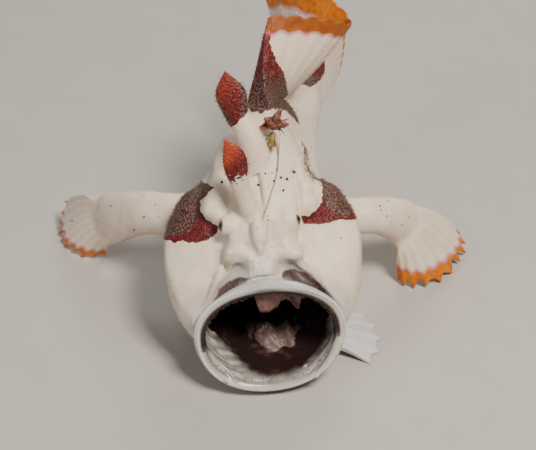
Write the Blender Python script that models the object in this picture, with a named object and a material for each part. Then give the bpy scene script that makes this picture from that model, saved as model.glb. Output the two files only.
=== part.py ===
"""A frogfish with its mouth wide open, as a still life-size model that stands on its fins.

The fish faces -Y and +X is its left side. Sizes are in millimetres and become metres where meshes are made.
The origin is on the floor, on the small flat where the belly rests, between the roots of the arms.
"""

import math
from typing import NamedTuple

import bmesh
import bpy
import numpy as np
from mathutils import Vector

MM = 0.001
GAP = 0.3
FAR = 60.0
GIRTH_SIDES = 56


class Section(NamedTuple):
    """One cross-section of the body: top and bottom are (y, z) on the midline.

    widest is how high the widest level lies, as a share. pinch narrows the part above it and tuck the part
    below it.
    """

    top: tuple
    bottom: tuple
    half_width: float
    widest: float
    power: float
    pinch: float
    tuck: float = 0.0


# The outer surface, from the crest of the lips back to the root of the tail fin.
LIP_CREST = Section((-16.3, 13.7), (-20.8, 1.3), 8.9, 0.55, 2.15, 0.0)
LIP_BACK = Section((-15.8, 14.4), (-20.2, 0.5), 9.3, 0.55, 2.15, 0.0)
LIP_GROOVE = Section((-15.2, 14.7), (-19.2, 0.4), 9.1, 0.54, 2.15, 0.05)
JAW_MEMBRANE = Section((-14.4, 16.2), (-17.8, 0.3), 9.7, 0.55, 2.1, 0.18, 0.05)
SNOUT = Section((-13.0, 18.4), (-15.5, 0.2), 11.0, 0.58, 2.1, 0.34, 0.12)
EYES = Section((-10.3, 21.0), (-12.0, 0.1), 12.0, 0.60, 2.1, 0.43, 0.14)
TEMPLES = Section((-7.0, 23.4), (-8.0, 0.05), 12.2, 0.59, 2.1, 0.40, 0.14)
NAPE = Section((-3.2, 25.4), (-3.5, 0.0), 11.2, 0.55, 2.1, 0.30, 0.12)
SHOULDERS = Section((1.0, 26.4), (1.0, -0.3), 8.9, 0.47, 2.1, 0.18, 0.05)
BACK = Section((6.0, 26.0), (6.0, -0.1), 7.2, 0.43, 2.1, 0.40)
LOIN = Section((11.0, 23.6), (11.5, 0.9), 6.0, 0.44, 2.05, 0.24)
RUMP = Section((16.0, 20.0), (16.5, 3.8), 4.9, 0.47, 2.0, 0.08)
PEDUNCLE = Section((20.5, 17.2), (21.0, 7.0), 3.7, 0.5, 2.0, 0.0)
TAIL_STEM = Section((24.5, 16.2), (25.0, 9.0), 2.5, 0.5, 2.0, 0.0)
TAIL_BASE = Section((28.0, 16.9), (28.0, 9.3), 1.3, 0.5, 2.0, 0.0)
OUTER = (LIP_CREST, LIP_BACK, LIP_GROOVE, JAW_MEMBRANE, SNOUT, EYES, TEMPLES, NAPE,
         SHOULDERS, BACK, LOIN, RUMP, PEDUNCLE, TAIL_STEM, TAIL_BASE)
OUTER_STEPS = 3

# The inner surface, from the crest of the lips in to the gullet.
LIP_INNER = Section((-16.2, 12.8), (-20.3, 2.2), 8.0, 0.55, 2.15, 0.0)
GUM = Section((-15.2, 12.6), (-19.0, 2.2), 7.9, 0.54, 2.15, 0.0)
PALATE_FRONT = Section((-13.0, 13.1), (-16.0, 2.0), 8.3, 0.52, 2.2, 0.1)
PALATE = Section((-9.5, 13.2), (-11.5, 2.0), 8.2, 0.5, 2.2, 0.12)
GULLET_FRONT = Section((-6.0, 11.5), (-7.5, 3.2), 6.6, 0.5, 2.1, 0.0)
GULLET = Section((-3.6, 9.4), (-4.2, 5.2), 3.2, 0.5, 2.0, 0.0)
INNER = (LIP_CREST, LIP_INNER, GUM, PALATE_FRONT, PALATE, GULLET_FRONT, GULLET)
INNER_STEPS = 2


class Relief(NamedTuple):
    """A swelling or, with a negative height, a groove along the line from start to end."""

    start: tuple
    end: tuple
    radius: float
    height: float


# Forms on both sides of the head, given for +X.
PAIRED_RELIEFS = (
    Relief((5.4, -9.4, 18.6), (5.0, -13.4, 15.8), 1.2, -0.8),
    Relief((5.2, -13.8, 15.2), (8.4, -15.6, 8.6), 0.9, -0.7),
    Relief((6.0, -6.6, 21.2), (6.4, -8.8, 19.6), 2.0, 1.2),
    Relief((2.0, -14.3, 17.0), (4.2, -13.9, 16.2), 0.9, 0.5),
    Relief((4.6, -14.9, 15.2), (8.2, -15.8, 8.6), 0.7, 0.35),
    Relief((8.8, -11.5, 12.6), (10.0, -12.5, 7.5), 2.6, 0.6),
    Relief((6.6, -0.5, 20.8), (6.8, -4.0, 20.4), 1.6, -1.1),
    Relief((8.6, -3.5, 18.0), (8.8, -6.0, 17.6), 1.8, 0.9),
)
MIDLINE_RELIEFS = (
    Relief((-0.4, -13.4, 18.4), (-0.4, -12.2, 19.8), 1.4, 1.0),
    Relief((-2.6, -14.4, 17.1), (2.6, -14.4, 17.1), 0.8, -0.6),
    Relief((0.0, -15.2, 15.6), (0.0, -16.0, 14.4), 1.5, 0.5),
    Relief((0.6, -11.0, 20.6), (0.6, -5.0, 24.8), 2.2, 0.4),
)

# The fish curls a little towards its left at both ends, and its front leans to its right.
HEAD_CURL = 0.8
HEAD_CURL_FROM = -5.0
HEAD_CURL_OVER = 15.0
TAIL_CURL = 4.6
TAIL_CURL_FROM = 2.0
TAIL_CURL_TO = 24.0
LEAN = math.radians(4.0)
LEAN_PIVOT = 6.0
LEAN_FADE_FROM = 0.0
LEAN_FADE_TO = 12.0

# Where thin cuts part the body: (y at height CUT_HIGH, y at height CUT_LOW).
CUT_HIGH = 15.0
CUT_LOW = 1.0
JAW_CUT = (-15.1, -18.3)
NECK_CUT = (-1.3, -1.3)
TAIL_CUT = (21.6, 21.6)
AHEAD_OF_ALL = (-40.0, -40.0)
BEHIND_ALL = (40.0, 40.0)
MOUTH_CORNER_HEIGHT = 8.2
CUT_TOP = 32.0
CUT_BOTTOM = -4.0

EYE_RADIUS = 1.25
EYE_CENTRE = (3.75, -10.4, 19.4)
EYE_LOOK = (0.9, -0.36, 0.25)
LID_RADIUS = 1.0
LID_THICKNESS = 0.36
NOSTRIL = (3.0, -13.6, 16.9)
NOSTRIL_REACH = (0.0, -0.75, 0.5)
NOSTRIL_RADII = (0.5, 0.42, 0.36)
NOSTRIL_PIT = 0.24
TONGUE_CENTRE = (1.2, -10.4, 1.8)
TONGUE_SIZE = (4.6, 4.4, 2.2)

SKIN = "skin_white"
RED = "skin_red"
ORANGE = "fin_orange"
COLOURS = {
    SKIN: ((0.72, 0.66, 0.58), 0.55),
    RED: ((0.30, 0.05, 0.03), 0.6),
    ORANGE: ((0.75, 0.25, 0.02), 0.5),
    "lip_grey": ((0.45, 0.43, 0.44), 0.4),
    "eye_dark": ((0.05, 0.04, 0.03), 0.15),
    "mouth_flesh": ((0.42, 0.28, 0.25), 0.45),
    "lure_pink": ((0.50, 0.25, 0.17), 0.4),
}


def eased(value, low, high):
    """0 below low, 1 above high, smooth between them."""
    share = np.clip((np.asarray(value, float) - low) / (high - low), 0.0, 1.0)
    return share * share * (3.0 - 2.0 * share)


def midline(y):
    """How far the midline lies to +X at y, and its slope there."""
    ahead = np.maximum(HEAD_CURL_FROM - y, 0.0) / HEAD_CURL_OVER
    behind = (np.clip(y, TAIL_CURL_FROM, TAIL_CURL_TO) - TAIL_CURL_FROM) / (TAIL_CURL_TO - TAIL_CURL_FROM)
    tail_slope = 2.0 * TAIL_CURL * behind / (TAIL_CURL_TO - TAIL_CURL_FROM)
    beyond = np.maximum(y - TAIL_CURL_TO, 0.0) * tail_slope
    offset = HEAD_CURL * ahead**2 + TAIL_CURL * behind**2 + beyond
    slope = tail_slope - 2.0 * HEAD_CURL * ahead / HEAD_CURL_OVER
    return offset, slope


def posed(points):
    """Points of the straight fish, moved to where its lean and curl take them."""
    points = np.atleast_2d(np.asarray(points, float))
    x, y, z = points.T
    lean = LEAN * (1.0 - eased(y, LEAN_FADE_FROM, LEAN_FADE_TO))
    up = z - LEAN_PIVOT
    x, z = x * np.cos(lean) - up * np.sin(lean), LEAN_PIVOT + x * np.sin(lean) + up * np.cos(lean)
    offset, slope = midline(y)
    length = np.sqrt(1.0 + slope**2)
    return np.column_stack([offset + x / length, y - x * slope / length, z])


def through(keys, steps):
    """A smooth curve through the rows of keys, with steps spans between neighbours."""
    keys = np.asarray(keys, float)
    padded = np.vstack([2 * keys[0] - keys[1], keys, 2 * keys[-1] - keys[-2]])
    rows = []
    for i in range(len(keys) - 1):
        before, start, end, after = padded[i : i + 4]
        for step in range(steps):
            t = step / steps
            rows.append(
                0.5 * (2 * start + (end - before) * t + (2 * before - 5 * start + 4 * end - after) * t**2
                       + (3 * start - before - 3 * end + after) * t**3)
            )
    rows.append(keys[-1])
    return np.array(rows)


def ring_points(row, sides):
    """The points round one cross-section, from the top towards +X."""
    top, bottom = np.array([0.0, *row[0:2]]), np.array([0.0, *row[2:4]])
    half_width, widest, power, pinch, tuck = row[4:9]
    middle = bottom + (top - bottom) * widest
    angles = 2 * math.pi * np.arange(sides) / sides
    across = np.sign(np.sin(angles)) * np.abs(np.sin(angles)) ** (2 / power)
    along = np.sign(np.cos(angles)) * np.abs(np.cos(angles)) ** (2 / power)
    points = middle + np.outer(np.maximum(along, 0), top - middle)
    points += np.outer(np.maximum(-along, 0), bottom - middle)
    narrowing = pinch * eased(along, 0.15, 0.55) + tuck * eased(-along, 0.1, 0.6)
    points[:, 0] += across * half_width * (1.0 - narrowing)
    return points


def rings_of(sections, steps, sides):
    keys = [(*s.top, *s.bottom, s.half_width, s.widest, s.power, s.pinch, s.tuck) for s in sections]
    return np.array([ring_points(row, sides) for row in through(keys, steps)])


def from_line(points, start, end):
    """Distance of each point from the line between start and end."""
    start, end = np.array(start, float), np.array(end, float)
    along = end - start
    share = np.clip((points - start) @ along / max(along @ along, 1e-9), 0.0, 1.0)
    return np.linalg.norm(points - start - share[:, None] * along, axis=1)


def relief_heights(points):
    """How far the reliefs push each point of the head outwards."""
    heights = np.zeros(len(points))
    mirrored = points * (-1.0, 1.0, 1.0)
    pairs = [(side, relief) for relief in PAIRED_RELIEFS for side in (points, mirrored)]
    for side, relief in pairs + [(points, relief) for relief in MIDLINE_RELIEFS]:
        distance = from_line(side, relief.start, relief.end)
        heights += relief.height * np.exp(-((distance / relief.radius) ** 2))
    return heights


def quads_between(first, second, sides):
    """Faces between two rings, given the index of each ring's first point."""
    return [
        (first + i, first + (i + 1) % sides, second + (i + 1) % sides, second + i)
        for i in range(sides)
    ]


def new_object(name, points, faces, material=SKIN):
    """An object whose faces point out, from points in millimetres."""
    mesh = bpy.data.meshes.new(name)
    mesh.from_pydata([tuple(p) for p in np.asarray(points) * MM], [], faces)
    shape = bmesh.new()
    shape.from_mesh(mesh)
    bmesh.ops.recalc_face_normals(shape, faces=shape.faces)
    if shape.calc_volume(signed=True) < 0:
        bmesh.ops.reverse_faces(shape, faces=shape.faces)
    shape.to_mesh(mesh)
    shape.free()
    made = bpy.data.objects.new(name, mesh)
    bpy.context.scene.collection.objects.link(made)
    paint(made, material)
    return made


def paint(made, name):
    material = bpy.data.materials.get(name)
    if material is None:
        colour, roughness = COLOURS[name]
        material = bpy.data.materials.new(name)
        material.use_nodes = True
        shader = material.node_tree.nodes["Principled BSDF"]
        shader.inputs["Base Color"].default_value = (*colour, 1.0)
        shader.inputs["Roughness"].default_value = roughness
        shader.inputs["Metallic"].default_value = 0.0
    made.data.materials.clear()
    made.data.materials.append(material)


def lofted(name, rings, material=SKIN):
    """A closed tube through rings of points, each end closed by a fan of triangles."""
    count, sides, _ = rings.shape
    points = list(rings.reshape(-1, 3)) + [rings[0].mean(0), rings[-1].mean(0)]
    faces = [face for i in range(count - 1) for face in quads_between(i * sides, (i + 1) * sides, sides)]
    for centre, first in ((count * sides, 0), (count * sides + 1, (count - 1) * sides)):
        faces += [(centre, first + i, first + (i + 1) % sides) for i in range(sides)]
    return new_object(name, points, faces, material)


def ring_normals(rings):
    """Unit normals of a surface of rings, which point out of it."""
    along = np.gradient(rings, axis=0)
    around = np.roll(rings, -1, axis=1) - np.roll(rings, 1, axis=1)
    normals = np.cross(along, around)
    normals /= np.maximum(np.linalg.norm(normals, axis=2), 1e-9)[:, :, None]
    away = rings - rings.mean(axis=1)[:, None]
    inward = np.sum(normals * away) < 0
    return -normals if inward else normals


def outer_rings(grow=0.0):
    """The body's outer surface, with its reliefs, grown by a distance."""
    rings = rings_of(OUTER, OUTER_STEPS, GIRTH_SIDES)
    heights = relief_heights(rings.reshape(-1, 3)).reshape(rings.shape[:2])
    rings = rings + ring_normals(rings) * heights[:, :, None]
    rings = posed(rings.reshape(-1, 3)).reshape(rings.shape)
    return rings + ring_normals(rings) * grow


def whole_body():
    inner = rings_of(INNER, INNER_STEPS, GIRTH_SIDES)[1:]
    inner = posed(inner.reshape(-1, 3)).reshape(inner.shape)
    return lofted("whole_body", np.concatenate([inner[::-1], outer_rings()]))


def grown_body():
    """The body without its mouth, larger by the gap, which cuts the roots of fins and spines."""
    rings = outer_rings(GAP)
    return lofted("grown_body", rings)


def applied(target):
    """Replaces an object's mesh by the one its modifiers give."""
    graph = bpy.context.evaluated_depsgraph_get()
    mesh = bpy.data.meshes.new_from_object(target.evaluated_get(graph))
    target.modifiers.clear()
    target.data = mesh
    return target


def combined(target, other, operation, keep_other=False):
    """Joins, cuts or crosses the target with the other object."""
    change = target.modifiers.new("change", "BOOLEAN")
    change.operation = operation
    change.object = other
    change.solver = "EXACT"
    applied(target)
    if not keep_other:
        bpy.data.objects.remove(other)
    return target


def united(target, others, solver="EXACT"):
    """Joins the target with several closed forms in one step."""
    group = bpy.data.collections.new("group")
    for other in others:
        bpy.context.scene.collection.objects.unlink(other)
        group.objects.link(other)
    bpy.context.scene.collection.children.link(group)
    change = target.modifiers.new("change", "BOOLEAN")
    change.operation = "UNION"
    change.operand_type = "COLLECTION"
    change.collection = group
    change.solver = solver
    applied(target)
    for other in others:
        bpy.data.objects.remove(other)
    bpy.data.collections.remove(group)
    return target


def largest_piece(target):
    """Keeps the largest closed surface of an object."""
    shape = bmesh.new()
    shape.from_mesh(target.data)
    shape.verts.ensure_lookup_table()
    seen = set()
    pieces = []
    for start in shape.verts:
        if start in seen:
            continue
        piece = [start]
        seen.add(start)
        for vertex in piece:
            for edge in vertex.link_edges:
                other = edge.other_vert(vertex)
                if other not in seen:
                    seen.add(other)
                    piece.append(other)
        pieces.append(piece)
    pieces.sort(key=len, reverse=True)
    for piece in pieces[1:]:
        bmesh.ops.delete(shape, geom=piece, context="VERTS")
    shape.to_mesh(target.data)
    shape.free()
    return target


def copy_of(source, name, material=SKIN):
    made = bpy.data.objects.new(name, source.data.copy())
    bpy.context.scene.collection.objects.link(made)
    paint(made, material)
    return made


def cut_face(cut, shift):
    """The four corners of a cut across the body, moved back by shift."""
    top, bottom = cut
    slope = (top - bottom) / (CUT_HIGH - CUT_LOW)
    corners = []
    for x, z in ((-FAR / 2, CUT_TOP), (FAR / 2, CUT_TOP), (FAR / 2, CUT_BOTTOM), (-FAR / 2, CUT_BOTTOM)):
        corners.append((x, bottom + slope * (z - CUT_LOW) + shift, z))
    return corners


def straight_across(corners):
    """Corners of a flat cut at the midline's own place and heading."""
    points = np.array(corners, float)
    offset, slope = midline(points[:, 1])
    length = np.sqrt(1.0 + slope**2)
    across, along = points[:, 0] / length, points[:, 0] * slope / length
    return np.column_stack([offset + across, points[:, 1] - along, points[:, 2]])


def region(front, rear):
    """A block between two cuts, which stays half a gap clear of each."""
    near, far = cut_face(front, GAP / 2), cut_face(rear, -GAP / 2)
    corners = np.vstack([straight_across(near), straight_across(far)])
    faces = [(0, 1, 2), (0, 2, 3), (4, 6, 5), (4, 7, 6)]
    for i in range(4):
        j = (i + 1) % 4
        faces += [(i, 4 + i, 4 + j), (i, 4 + j, j)]
    return new_object("region", corners, faces)


def block(low, high):
    corners = [(x, y, z) for x in (low[0], high[0]) for y in (low[1], high[1]) for z in (low[2], high[2])]
    faces = [(0, 1, 3, 2), (4, 6, 7, 5), (0, 4, 5, 1), (2, 3, 7, 6), (0, 2, 6, 4), (1, 5, 7, 3)]
    return new_object("block", corners, faces)


def beyond(point, direction):
    """A block that fills the side of a plane its direction points to."""
    turn = Vector(direction).to_track_quat("Z", "Y").to_matrix()
    corners = []
    for z in (0.0, FAR):
        for x, y in ((-FAR, -FAR), (FAR, -FAR), (FAR, FAR), (-FAR, FAR)):
            corners.append(np.array(point) + np.array(turn @ Vector((x, y, z))))
    faces = [(3, 2, 1, 0), (4, 5, 6, 7), (0, 1, 5, 4), (1, 2, 6, 5), (2, 3, 7, 6), (3, 0, 4, 7)]
    return new_object("beyond", corners, faces)


def floor_cut(target):
    """Takes off what lies below the floor."""
    return combined(target, block((-FAR, -FAR, -FAR), (FAR, FAR, 0.0)), "DIFFERENCE")


def ball(name, centre, radius, material=SKIN, segments=20):
    made = new_object(name, [(0, 0, 0)], [], material)
    shape = bmesh.new()
    bmesh.ops.create_uvsphere(shape, u_segments=segments, v_segments=segments // 2, radius=radius * MM)
    bmesh.ops.translate(shape, verts=shape.verts, vec=Vector(centre) * MM)
    shape.to_mesh(made.data)
    shape.free()
    return made


def tube(name, path, widths, depths, across, sides=20, material=SKIN, pose=False, steps=3):
    """A tapering oval tube along a smooth path. widths lie along across, depths square to it."""
    keys = np.column_stack([path, widths, depths])
    rows = through(keys, steps)
    centres = posed(rows[:, :3]) if pose else rows[:, :3]
    rings = []
    angles = 2 * math.pi * np.arange(sides) / sides
    for i, centre in enumerate(centres):
        ahead = centres[min(i + 1, len(centres) - 1)] - centres[max(i - 1, 0)]
        ahead /= np.linalg.norm(ahead)
        side = np.array(across, float)
        side -= ahead * (side @ ahead)
        side /= np.linalg.norm(side)
        other = np.cross(ahead, side)
        width, depth = rows[i, 3:5]
        round_it = np.outer(np.cos(angles) * width, side) + np.outer(np.sin(angles) * depth, other)
        rings.append(centre + round_it)
    return lofted(name, np.array(rings), material)


class Fan(NamedTuple):
    """A fin's rays and membrane.

    bow bends the rays, all alike or one by one, ridge is how much thicker a ray is than the membrane beside
    it, notch is how far the margin falls back between rays, and first_swell thickens the foot of the first
    rays.
    """

    roots: np.ndarray
    tips: np.ndarray
    bow: np.ndarray
    root_thickness: float
    tip_thickness: float
    ridge: float
    notch: float
    first_swell: float = 0.0


COLUMNS_PER_RAY = 3
RIDGE_PROFILE = (1.0, 0.0, 0.0)
NOTCH_PROFILE = (0.0, 0.85, 0.85)


def fan_surface(fan, rows):
    """The fin's middle surface as a grid of points, and the half thickness at each."""
    count = len(fan.roots)
    columns = (count - 1) * COLUMNS_PER_RAY + 1
    bows = np.broadcast_to(fan.bow, (count, 3))
    middle = np.zeros((rows, columns, 3))
    half = np.zeros((rows, columns))
    for column in range(columns):
        position = column / COLUMNS_PER_RAY
        root, tip, bow = (
            np.array([np.interp(position, range(count), values[:, k]) for k in range(3)])
            for values in (fan.roots, fan.tips, bows)
        )
        kind = column % COLUMNS_PER_RAY
        reach = 1.0 - fan.notch * NOTCH_PROFILE[kind]
        for row in range(rows):
            v = row / (rows - 1) * reach
            middle[row, column] = root + (tip - root) * v + bow * (4 * v * (1 - v))
            body = fan.root_thickness * (1 - v) ** 1.5 + fan.tip_thickness * (1 - (1 - v) ** 1.5)
            ridge = fan.ridge * RIDGE_PROFILE[kind] * min(1.0, 3 * v) * (1 - 0.6 * v)
            swell = fan.first_swell * math.exp(-((position / 1.1) ** 2)) * (1 - v) ** 1.1
            half[row, column] = (body + ridge + swell) / 2
    return middle, half


def grid_normals(grid):
    """Unit normals of a grid of points."""
    down = np.gradient(grid, axis=0)
    across = np.gradient(grid, axis=1)
    normals = np.cross(across, down)
    return normals / np.linalg.norm(normals, axis=2)[:, :, None]


def fan_object(name, fan, rows=7, material=SKIN):
    """A closed fin, split into triangles alike on both faces."""
    middle, half = fan_surface(fan, rows)
    normals = grid_normals(middle)
    count = middle.shape[0] * middle.shape[1]
    columns = middle.shape[1]
    front = (middle + normals * half[:, :, None]).reshape(-1, 3)
    back = (middle - normals * half[:, :, None]).reshape(-1, 3)
    faces = []
    for i in range(middle.shape[0] - 1):
        for j in range(columns - 1):
            a, b = i * columns + j, i * columns + j + 1
            c, d = b + columns, a + columns
            faces += [(a, b, c), (a, c, d)]
            faces += [(a + count, c + count, b + count), (a + count, d + count, c + count)]
    last = (middle.shape[0] - 1) * columns
    border = list(range(columns))
    border += [i * columns + columns - 1 for i in range(1, middle.shape[0])]
    border += [last + j for j in range(columns - 2, -1, -1)]
    border += [i * columns for i in range(middle.shape[0] - 2, 0, -1)]
    for i, a in enumerate(border):
        b = border[(i + 1) % len(border)]
        faces += [(a, a + count, b + count), (a, b + count, b)]
    return new_object(name, np.vstack([front, back]), faces, material)


def spread(low, high, count):
    return np.linspace(low, high, count)


# Soft dorsal fin: its front rays billow towards the fish's left and its rear rays swing back behind them.
DORSAL_RAYS = 13
DORSAL_BASE = ((3.2, 25.2), (8.8, 23.6), (14.4, 20.2), (20.0, 16.4))
DORSAL_LENGTHS = (12.7, 12.7, 13.7, 14.3, 14.8, 15.4, 16.6)
DORSAL_RAKES = (34.0, 30.0, 26.0, 26.0, 30.0, 36.0, 38.0)
DORSAL_LEANS = (-2.0, 20.0, 38.0, 43.0, 28.0, -8.0, -41.0)
DORSAL_BOWS = ((-0.5, -0.1, 0.0), (0.3, -0.2, 0.0), (0.6, -0.2, 0.0), (0.6, -0.2, 0.0), (0.6, -0.2, 0.0))


def between(values, share):
    """The value at a share of the way along a row of evenly spaced values."""
    curve = through(np.array(values, float).reshape(len(values), -1), 8)
    fine = np.linspace(0.0, 1.0, len(curve))
    found = np.array([np.interp(share, fine, curve[:, k]) for k in range(curve.shape[1])])
    return found if len(found) > 1 else float(found[0])


def dorsal_fin(body_cutter):
    roots, tips, bows = [], [], []
    for i in range(DORSAL_RAYS):
        share = i / (DORSAL_RAYS - 1)
        y, z = between(DORSAL_BASE, share)
        rake = math.radians(between(DORSAL_RAKES, share))
        lean = math.radians(between(DORSAL_LEANS, share))
        length = between(DORSAL_LENGTHS, share)
        up = np.array([math.sin(lean) * math.cos(rake), math.sin(rake), math.cos(lean) * math.cos(rake)])
        root = np.array([0.0, y, z])
        roots.append(root)
        tips.append(root + up * length)
        bows.append(between(DORSAL_BOWS, share))
    fan = Fan(posed(roots), posed(tips), bow=np.array(bows), root_thickness=1.5, tip_thickness=0.5,
              ridge=0.5, notch=0.05, first_swell=2.7)
    made = fan_object("dorsal_fin", fan, rows=9, material=ORANGE)
    return largest_piece(combined(made, body_cutter, "DIFFERENCE", keep_other=True))


# Tail fin and anal fin, given in the fish's middle plane.
TAIL_RAYS = 9
TAIL_ROOT = (28.0, 16.4)
TAIL_ROOT_HEIGHT = 6.6
TAIL_FAN_LENGTH = 11.5
TAIL_FAN_ANGLES = (16.0, -2.0)
ANAL_RAYS = 7
ANAL_BASE = ((13.5, 3.4), (20.5, 7.8))
ANAL_ANGLES = (-50.0, -8.0)
ANAL_SHORTEST = 6.0
ANAL_SWELL = 3.2


def tail_fin():
    roots, tips = [], []
    for i in range(TAIL_RAYS):
        share = i / (TAIL_RAYS - 1)
        angle = math.radians(TAIL_FAN_ANGLES[0] + (TAIL_FAN_ANGLES[1] - TAIL_FAN_ANGLES[0]) * share)
        length = TAIL_FAN_LENGTH * (0.84 + 0.16 * math.sin(math.pi * share))
        root = np.array([0.0, TAIL_ROOT[0] + GAP, TAIL_ROOT[1] - TAIL_ROOT_HEIGHT * share])
        roots.append(root)
        tips.append(root + length * np.array([0.0, math.cos(angle), math.sin(angle)]))
    fan = Fan(posed(roots), posed(tips), bow=(0.5, 0.0, 0.0), root_thickness=1.8, tip_thickness=0.5,
              ridge=0.5, notch=0.05)
    return fan_object("tail_fin", fan, rows=8, material=ORANGE)


def anal_fin(body_cutter):
    roots, tips = [], []
    for i in range(ANAL_RAYS):
        share = i / (ANAL_RAYS - 1)
        angle = math.radians(ANAL_ANGLES[0] + (ANAL_ANGLES[1] - ANAL_ANGLES[0]) * share)
        length = ANAL_SHORTEST + ANAL_SWELL * math.sin(math.pi * (0.2 + 0.7 * share))
        root = np.array([0.0, *between(ANAL_BASE, share)])
        roots.append(root)
        tips.append(root + length * np.array([0.0, math.cos(angle), math.sin(angle)]))
    fan = Fan(posed(roots), posed(tips), bow=(0.3, 0.0, 0.0), root_thickness=1.4, tip_thickness=0.5,
              ridge=0.5, notch=0.06)
    made = floor_cut(fan_object("anal_fin", fan, rows=6, material=ORANGE))
    return largest_piece(combined(made, body_cutter, "DIFFERENCE", keep_other=True))


class Arm(NamedTuple):
    """A pectoral limb: the arm's path and half sizes, then the fan of the hand down to the floor."""

    side: str
    path: tuple
    widths: tuple
    depths: tuple
    margin: tuple


PECTORAL_RAYS = 10
LEFT_ARM = Arm(
    "left",
    ((6.6, 0.6, 12.2), (11.0, 0.6, 11.9), (14.4, 1.6, 11.2), (17.0, 3.2, 9.2), (18.6, 4.2, 7.2)),
    (2.6, 2.4, 2.5, 2.9, 3.2), (2.3, 2.2, 2.1, 1.8, 1.4),
    ((17.4, 1.6, -0.1), (18.8, 0.3, -0.1), (21.4, 0.1, -0.1), (24.0, 2.2, -0.1), (26.2, 5.4, -0.1),
     (27.2, 8.2, 0.0), (26.6, 10.8, 0.4)))
RIGHT_ARM = Arm(
    "right",
    ((-6.6, 0.6, 12.6), (-11.4, 0.8, 12.0), (-16.0, 2.8, 10.7), (-19.6, 5.4, 8.0), (-21.6, 7.2, 5.9)),
    (2.9, 2.8, 2.9, 3.3, 3.5), (2.4, 2.3, 2.1, 1.8, 1.4),
    ((-21.8, 6.9, -0.1), (-24.6, 6.7, -0.1), (-27.0, 8.3, -0.1), (-28.3, 10.7, -0.1), (-28.5, 13.2, 0.8),
     (-27.8, 15.1, 2.8)))


def hand_rays(arm):
    """Roots and tips of the rays of a hand."""
    wrist = np.array(arm.path[-1], float)
    ahead = wrist - np.array(arm.path[-2], float)
    ahead /= np.linalg.norm(ahead)
    across = np.array(arm.margin[-1], float) - np.array(arm.margin[0], float)
    across -= ahead * (across @ ahead)
    across /= np.linalg.norm(across)
    roots, tips = [], []
    for i in range(PECTORAL_RAYS):
        share = i / (PECTORAL_RAYS - 1)
        roots.append(wrist - ahead * 0.8 + across * arm.widths[-1] * 0.9 * (2 * share - 1))
        tips.append(between(arm.margin, share))
    return np.array(roots), np.array(tips), across, ahead


def pectoral(arm, body_cutter):
    """The arm and the hand of one side."""
    roots, tips, across, ahead = hand_rays(arm)
    limb = tube(f"arm_{arm.side}", arm.path, arm.widths, arm.depths, across)
    largest_piece(combined(limb, body_cutter, "DIFFERENCE", keep_other=True))
    fan = Fan(roots, tips, bow=(0.0, 0.0, 0.9), root_thickness=2.2, tip_thickness=0.6, ridge=0.5, notch=0.08)
    hand = fan_object(f"hand_{arm.side}", fan, rows=7, material=ORANGE)
    combined(hand, beyond(np.array(arm.path[-1]) + ahead * GAP, -ahead), "DIFFERENCE")
    floor_cut(hand)
    largest_piece(hand)


PELVIC_RAYS = 5


class Foot(NamedTuple):
    """A pelvic fin: where it starts, and the angles and length of its rays."""

    side: str
    root: tuple
    root_span: float
    angles: tuple
    length: float


LEFT_FOOT = Foot("left", (4.6, -11.6, 1.8), 2.6, (-20.0, 26.0), 10.2)
RIGHT_FOOT = Foot("right", (-4.6, -7.6, 1.9), 2.6, (150.0, 98.0), 7.4)


def pelvic(foot, body_cutter):
    """A pelvic fin, like a small foot beside the throat."""
    roots, tips = [], []
    for i in range(PELVIC_RAYS):
        share = i / (PELVIC_RAYS - 1)
        root = np.array(foot.root) + (0.0, foot.root_span * share, 0.0)
        angle = math.radians(foot.angles[0] + (foot.angles[1] - foot.angles[0]) * share)
        length = foot.length * (0.9 + 0.1 * math.sin(math.pi * share))
        tip = root + length * np.array([math.cos(angle), math.sin(angle), 0.0])
        tip[2] = -0.1
        roots.append(root)
        tips.append(tip)
    fan = Fan(np.array(roots), np.array(tips), bow=(0.0, 0.0, 0.8), root_thickness=1.6, tip_thickness=0.7,
              ridge=0.7, notch=0.12)
    made = floor_cut(fan_object(f"foot_{foot.side}", fan, rows=6, material=SKIN))
    return largest_piece(combined(made, body_cutter, "DIFFERENCE", keep_other=True))


# Path, half widths and half depths of each thick spine, whose end widens into a leaf.
SECOND_SPINE = (
    ((-1.5, -10.6, 18.0), (-1.7, -10.4, 20.2), (-3.05, -9.9, 24.3), (-3.6, -9.8, 27.0), (-4.0, -9.6, 29.2),
     (-5.1, -9.4, 31.3)),
    (1.4, 1.25, 1.15, 1.5, 1.35, 0.1), (1.5, 1.2, 0.95, 0.85, 0.55, 0.1))
THIRD_SPINE = (
    ((-1.0, -4.8, 22.5), (-1.3, -4.4, 25.4), (-2.6, -3.4, 28.5), (-3.6, -2.8, 30.2), (-4.4, -2.2, 33.1),
     (-5.0, -1.8, 35.9)),
    (1.9, 1.8, 1.5, 1.55, 1.9, 0.12), (2.2, 1.8, 1.3, 1.2, 0.8, 0.1))


def spines(body_cutter):
    """The two thick spines on the head, which lean to the fish's right."""
    second = tube("second_spine", *SECOND_SPINE, (1.0, 0.0, 0.3), sides=14, material=RED)
    third = tube("third_spine", *THIRD_SPINE, (1.0, 0.0, 0.3), sides=16, material=RED)
    for spine in (second, third):
        largest_piece(combined(spine, body_cutter, "DIFFERENCE", keep_other=True))


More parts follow.
